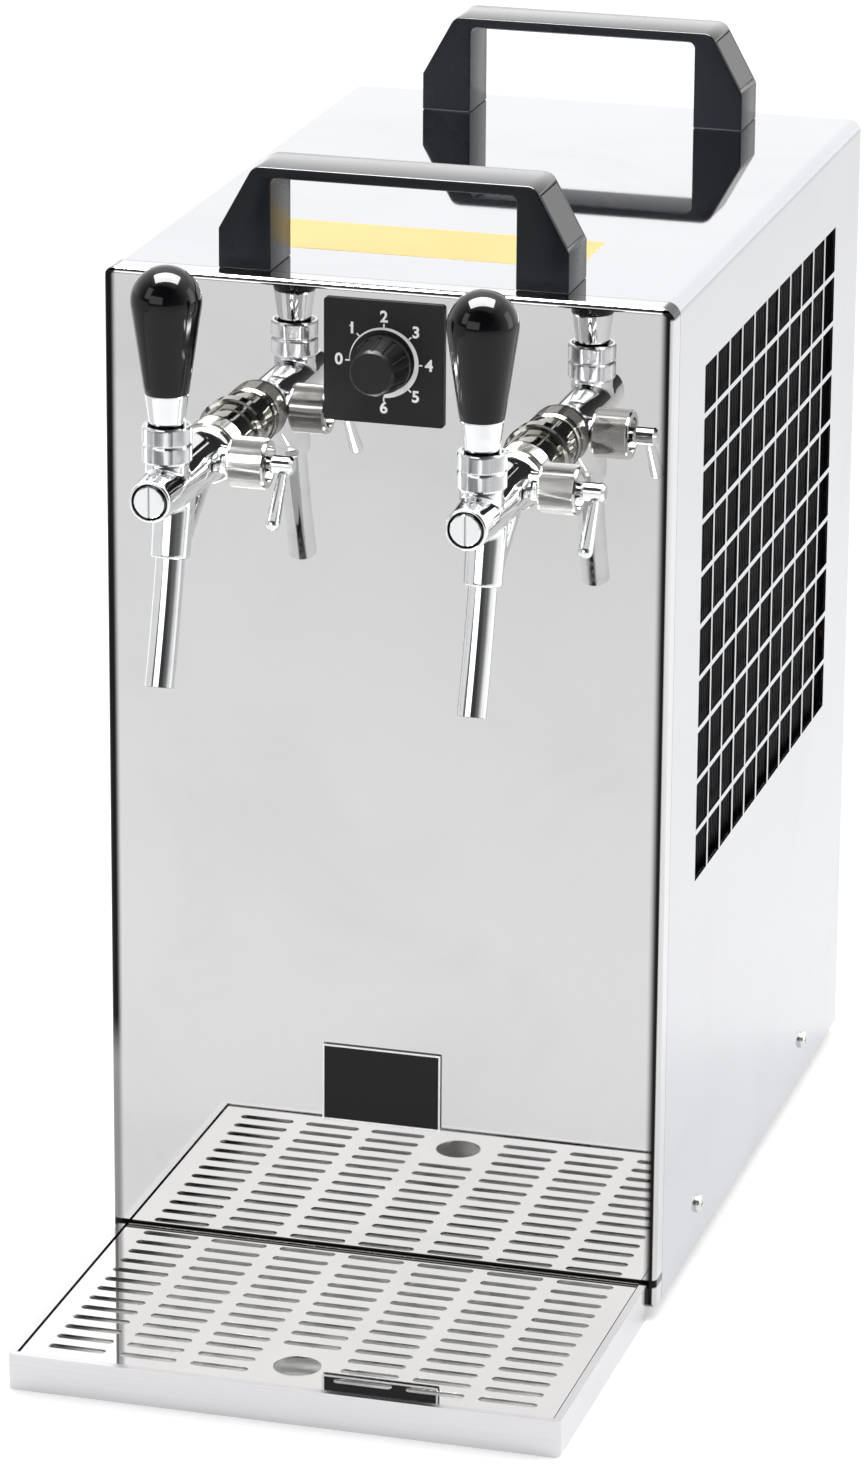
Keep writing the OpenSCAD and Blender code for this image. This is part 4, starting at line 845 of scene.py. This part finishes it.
def cabinet_screws():
    """The cover's screws on both sides, and six on the rear panel."""
    (_, y0, z0), (_, y1, z1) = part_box("cover_screws")
    radius = (z1 - z0) / 2
    z = (z0 + z1) / 2
    side = COVER[1][0]
    places = []
    for y in (y0 + radius, y1 - radius):
        places += [((side, y, z), (1, 0, 0)), ((-side, y, z), (-1, 0, 0))]
    screws("cover_screws_cross", radius, places, "cover_screws")
    rear_x, rear_heights, rear_radius = 118, (60, 250, 450), 3.2
    rear = [((x * MM, REAR[1][1], z * MM), (0, 1, 0)) for x in (-rear_x, rear_x) for z in rear_heights]
    screws("rear_screws", rear_radius * MM, rear)


def fin_tree():
    """A row of thin plates along Y, added to the pipe that they are pressed on."""
    tree, given, out = node_tree("condenser_fins", [
        ("Count", "NodeSocketInt"), ("Pitch", "NodeSocketFloat"), ("Start", "NodeSocketVector"),
        ("Plate", "NodeSocketVector"), ("Material", "NodeSocketMaterial")])
    link = tree.links.new
    row = add(tree, "GeometryNodeMeshLine", mode="OFFSET")
    step = add(tree, "ShaderNodeCombineXYZ")
    link(given.outputs["Pitch"], step.inputs[1])
    link(given.outputs["Count"], row.inputs["Count"])
    link(given.outputs["Start"], row.inputs["Start Location"])
    link(step.outputs[0], row.inputs["Offset"])
    plate = add(tree, "GeometryNodeMeshCube")
    link(given.outputs["Plate"], plate.inputs["Size"])
    spread = add(tree, "GeometryNodeInstanceOnPoints")
    link(row.outputs[0], spread.inputs["Points"])
    link(plate.outputs["Mesh"], spread.inputs["Instance"])
    return coat_and_close(tree, given, out, spread, joined=True)


def pipe(name, points, radius, sides=16):
    """A round pipe through points, as a plain mesh."""
    curve = bpy.data.curves.new(name, "CURVE")
    curve.dimensions = "3D"
    curve.bevel_depth = radius
    curve.bevel_resolution = sides // 4 - 2
    curve.use_fill_caps = True
    line = curve.splines.new("POLY")
    line.points.add(len(points) - 1)
    for knot, point in zip(line.points, points):
        knot.co = (*point, 1)
    return curve_mesh(curve)


def condenser_pack():
    """The finned condenser behind the grille: fine fins on one long bent pipe."""
    (x0, y0, z0), (x1, y1, z1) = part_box("condenser")
    x, end, bow, pipe_r, fin_thick, fins = (x0 + x1) / 2, 12 * MM, 8 * MM, 4 * MM, 0.4 * MM, 84
    fin_y0, fin_y1 = y0 + end, y1 - end
    rows, bend_steps = 8, 8
    pitch = (z1 - z0) / rows
    points = []
    for k in range(rows):
        z = z0 + pitch * (k + 0.5)
        ends, out = ((fin_y1, fin_y0), -1) if k % 2 == 0 else ((fin_y0, fin_y1), 1)
        points += [(x, y, z) for y in ends]
        if k < rows - 1:
            bend = [math.pi * i / bend_steps for i in range(1, bend_steps)]
            points += [(x, ends[1] + out * bow * math.sin(a), z + pitch * (1 - math.cos(a)) / 2)
                       for a in bend]
    piece = new_piece("condenser_pack", pipe("condenser_pack", points, pipe_r), FINISHES["black_paint"])
    set_inputs(piece.modifiers.new("fins", "NODES"), fin_tree(), {
        "Count": fins, "Pitch": (fin_y1 - fin_y0) / (fins - 1),
        "Start": (x, fin_y0, (z0 + z1) / 2),
        "Plate": (x1 - x0, fin_thick, z1 - z0), "Material": FINISHES["black_paint"]})
    settle(bake(piece), "cabinet", "black_paint", "condenser")


# Prints and plates

PRINT_LIFT = 0.05 * MM
DIGIT_LIFT = 0.03 * MM


def flat_band(bm, outer, inner, y, lift, closed):
    """A thin raised band between two outlines, facing forward, with end faces where it is open."""
    back_o, back_i, front_o, front_i = (
        [bm.verts.new((x, y - depth, z)) for x, z in points]
        for points, depth in ((outer, 0), (inner, 0), (outer, lift), (inner, lift)))
    count = len(outer)
    for i in range(count if closed else count - 1):
        j = (i + 1) % count
        for a, b in ((front_o, front_i), (back_o, front_o), (back_i, front_i), (back_o, back_i)):
            bm.faces.new((a[i], a[j], b[j], b[i]))
    for end in () if closed else (0, count - 1):
        bm.faces.new((front_o[end], front_i[end], back_i[end], back_o[end]))


def flat_patch(bm, outline, y, lift):
    """A thin raised patch from one outline, facing forward."""
    prism(bm, *([(x, y - depth, z) for x, z in outline] for depth in (0, lift)))


def digit(text, size):
    """A numeral as a bold mesh on the XY plane, centred."""
    boldness = 0.03
    curve = bpy.data.curves.new("numeral", "FONT")
    curve.body = text
    curve.size = size
    curve.align_x = "CENTER"
    curve.align_y = "CENTER"
    curve.extrude = DIGIT_LIFT
    curve.offset = boldness * size
    return curve_mesh(curve)


def dial_spot(r, a):
    """A point (x, z) on the thermostat's plate, from a radius in millimetres and an angle."""
    return r * MM * math.cos(a), (SCALE[0][2] + SCALE[1][2]) / 2 + r * MM * math.sin(a)


def dial_marks(stops, number_r, y):
    """A widening arc, a tick at each stop, and the flag of the figure 1."""
    bm = bmesh.new()
    arc_r, thin, gain, steps = 15.9, 0.25, 2.6, 90
    band = [(math.radians(180 - 270 * i / steps), thin + gain * i / steps) for i in range(steps + 1)]
    outer = [dial_spot(arc_r, a) for a, _ in band]
    inner = [dial_spot(arc_r - w, a) for a, w in band]
    flat_band(bm, outer, inner, y, PRINT_LIFT, closed=False)
    tick_r0, tick_r1, tick_half = 15.5, 17.6, 0.35 * MM
    for a in stops:
        over = Vector((-math.sin(a), math.cos(a)))
        corners = [Vector(dial_spot(r, a)) + over * w for r, w in (
            (tick_r0, -tick_half), (tick_r1, -tick_half), (tick_r1, tick_half), (tick_r0, tick_half))]
        flat_patch(bm, corners, y, PRINT_LIFT)
    one_x, one_z = dial_spot(number_r, stops[1])
    flag = ((-1.3, 1.2), (-1.0, 0.8), (0.1, 1.6), (0.1, 2.4))
    flat_patch(bm, [(one_x + dx * MM, one_z + dz * MM) for dx, dz in flag], y, PRINT_LIFT)
    return finished(bm, "dial_marks")


def dial_print():
    """Numbers, ticks and a widening arc printed on the thermostat's plate."""
    y = SCALE[0][1]
    numbers, number_r, number_h = 7, 20.6, 7.2
    stops = [math.radians(180 - 45 * n) for n in range(numbers)]
    face = Matrix.Rotation(math.pi / 2, 4, "X")
    parts = []
    for n, a in enumerate(stops):
        x, z = dial_spot(number_r, a)
        parts.append((digit(str(n), number_h * MM), Matrix.Translation((x, y - DIGIT_LIFT, z)) @ face))
    parts.append((dial_marks(stops, number_r, y), Matrix.Identity(4)))
    settle(new_piece("dial_print", gathered("dial_print", parts), WHITE_INK), "cabinet", "scale_plastic")


def name_border():
    """Thin white line round the bare name plate."""
    (x0, y0, z0), (x1, _, z1) = NAME

    def frame_at(inset):
        i = inset * MM
        return [(x0 + i, z0 + i), (x1 - i, z0 + i), (x1 - i, z1 - i), (x0 + i, z1 - i)]

    bm = bmesh.new()
    flat_band(bm, frame_at(0.05), frame_at(0.95), y0, PRINT_LIFT, closed=True)
    settle(new_piece("name_border", finished(bm, "name_border"), WHITE_INK), "cabinet", "plate_black")


def top_strip():
    """Plain yellow strip on the cabinet's top."""
    x0, x1, y0, y1, thick = -80 * MM, 72 * MM, -64 * MM, -14 * MM, 0.12 * MM
    corners = ((x0, y0), (x1, y0), (x1, y1), (x0, y1))
    bm = bmesh.new()
    prism(bm, *([(x, y, TOP_Z + rise) for x, y in corners] for rise in (0, thick)))
    settle(new_piece("yellow_strip", finished(bm, "yellow_strip"), YELLOW_STRIP), "cabinet", "satin_steel")


# Camera, floor and light

def look_from(name, eye, azimuth, elevation, roll, lens):
    """A camera at the eye, turned by angles in degrees."""
    az, el, ro = (math.radians(v) for v in (azimuth, elevation, roll))
    back = Vector((math.sin(az) * math.cos(el), -math.cos(az) * math.cos(el), math.sin(el)))
    right = Vector((0, 0, 1)).cross(back).normalized()
    up = back.cross(right)
    side = math.cos(ro) * right + math.sin(ro) * up
    rise = -math.sin(ro) * right + math.cos(ro) * up
    data = bpy.data.cameras.new(name)
    data.lens = lens
    data.sensor_width = 36
    data.clip_start = 0.05
    data.clip_end = 60
    camera = bpy.data.objects.new(name, data)
    camera.matrix_world = Matrix((
        (side.x, rise.x, back.x, eye[0]), (side.y, rise.y, back.y, eye[1]),
        (side.z, rise.z, back.z, eye[2]), (0, 0, 0, 1)))
    bpy.context.scene.collection.objects.link(camera)
    bpy.context.scene.camera = camera


def softbox(name, place, aim, width, height, energy):
    data = bpy.data.lights.new(name, "AREA")
    data.shape = "RECTANGLE"
    data.size = width
    data.size_y = height
    data.energy = energy
    lamp = bpy.data.objects.new(name, data)
    lamp.location = place
    lamp.rotation_euler = (Vector(aim) - Vector(place)).to_track_quat("-Z", "Y").to_euler()
    bpy.context.scene.collection.objects.link(lamp)


def stage_plane(name, corners, material):
    mesh = bpy.data.meshes.new(name)
    mesh.from_pydata(corners, [], [(0, 1, 2, 3)])
    plane = new_piece(name, mesh, material)
    return plane


def glow_card(name, corners, strength):
    """A bright card that shows only in the object's reflections."""
    glow = Finish(name, roughness=0.9, Emission_Strength=strength, Base_Color=(0, 0, 0, 1))
    cloth = glow.group(PEBBLING, Bump_Size=200.0, Tone_Size=4.0).outputs["Tone"]
    glow.links.new(glow.step(cloth, -1.5, 0.6), glow.shader.inputs["Emission Color"])
    card = stage_plane(name, corners, glow.material)
    card.visible_camera = False
    card.visible_diffuse = False
    card.visible_shadow = False


def pale_floor():
    floor = Finish("pale_floor", roughness=0.7, Emission_Strength=1.0, Specular_IOR_Level=0.2)
    # The floor glows more strongly towards the object: a painted pool of light in front of it.
    glow = ramp(floor.material.node_tree, floor.axes()["Y"], -1.6, -0.3, 0.0, 0.27)
    floor.links.new(glow, floor.shader.inputs["Emission Color"])
    soft = floor.group(PEBBLING, Bump_Size=60.0, Tone_Size=2.0)
    floor.colour(soft.outputs["Tone"], (0.86, 0.86, 0.86), (0.90, 0.90, 0.90))
    half = 9
    corners = [(-half, -half, 0), (half, -half, 0), (half, half, 0), (-half, half, 0)]
    stage_plane("floor", corners, floor.material)


def reflected_cards():
    x, y0, y1, z0, z1 = -0.9, -1.25, 0.25, 0, 0.55
    glow_card("card_left", [(x, y0, z0), (x, y1, z0), (x, y1, z1), (x, y0, z1)], 0.8)
    along, across = Vector((-0.272, 0.962, 0)), Vector((0.962, 0.272, 0))
    over, near, far, half = Vector((0, -0.22, 1.5)), -0.2, 0.5, 0.6
    corners = ((near, -half), (near, half), (far, half), (far, -half))
    glow_card("card_above", [over + along * a + across * b for a, b in corners], 36)


def studio_world():
    """Bright behind the object, dark before it, and darkest high up in front."""
    world = bpy.data.worlds.new("studio")
    bpy.context.scene.world = world
    world.use_nodes = True
    tree = world.node_tree
    way = tree.nodes.new("ShaderNodeTexCoord").outputs["Generated"]
    split = tree.nodes.new("ShaderNodeSeparateXYZ")
    tree.links.new(way, split.inputs[0])
    behind = ramp(tree, split.outputs["Y"], -0.6, 0.4, 0.16, 1.45, soft=True)
    high_front = tree.nodes.new("ShaderNodeVectorMath")
    high_front.operation = "DOT_PRODUCT"
    high_front.inputs[1].default_value = (0.2, -0.78, 0.59)
    tree.links.new(way, high_front.inputs[0])
    dim = ramp(tree, high_front.outputs["Value"], 0.72, 0.95, 1.0, 0.3, soft=True)
    sky = tree.nodes["Background"]
    tree.links.new(maths(tree, "MULTIPLY", behind, dim), sky.inputs["Color"])
    sky.inputs["Strength"].default_value = 1.0


def studio():
    pale_floor()
    reflected_cards()
    softbox("top_light", (0.0, 0.2, 2.4), (0, 0.1, 0.2), 2.8, 2.8, 14)
    softbox("front_light", (-1.0, -3.6, 1.35), (0, -0.1, 0.2), 2.8, 1.5, 24)
    softbox("left_light", (-1.5, -1.5, 1.5), (0, 0, 0.3), 0.7, 1.2, 6)
    softbox("right_light", (1.9, 0.55, 0.9), (0, 0, 0.35), 0.8, 1.3, 6)
    studio_world()
    bpy.context.scene.view_settings.view_transform = "Standard"


look_from("photo_camera", eye=(0.7471, -2.6807, 1.1630),
          azimuth=15.79, elevation=18.61, roll=0.39, lens=152.77)
dress_solids()
knurled_rings()
tap_castings()
carry_handles()
pressed_grid()
tap_grips()
cabinet_screws()
condenser_pack()
dial_print()
name_border()
top_strip()
studio()
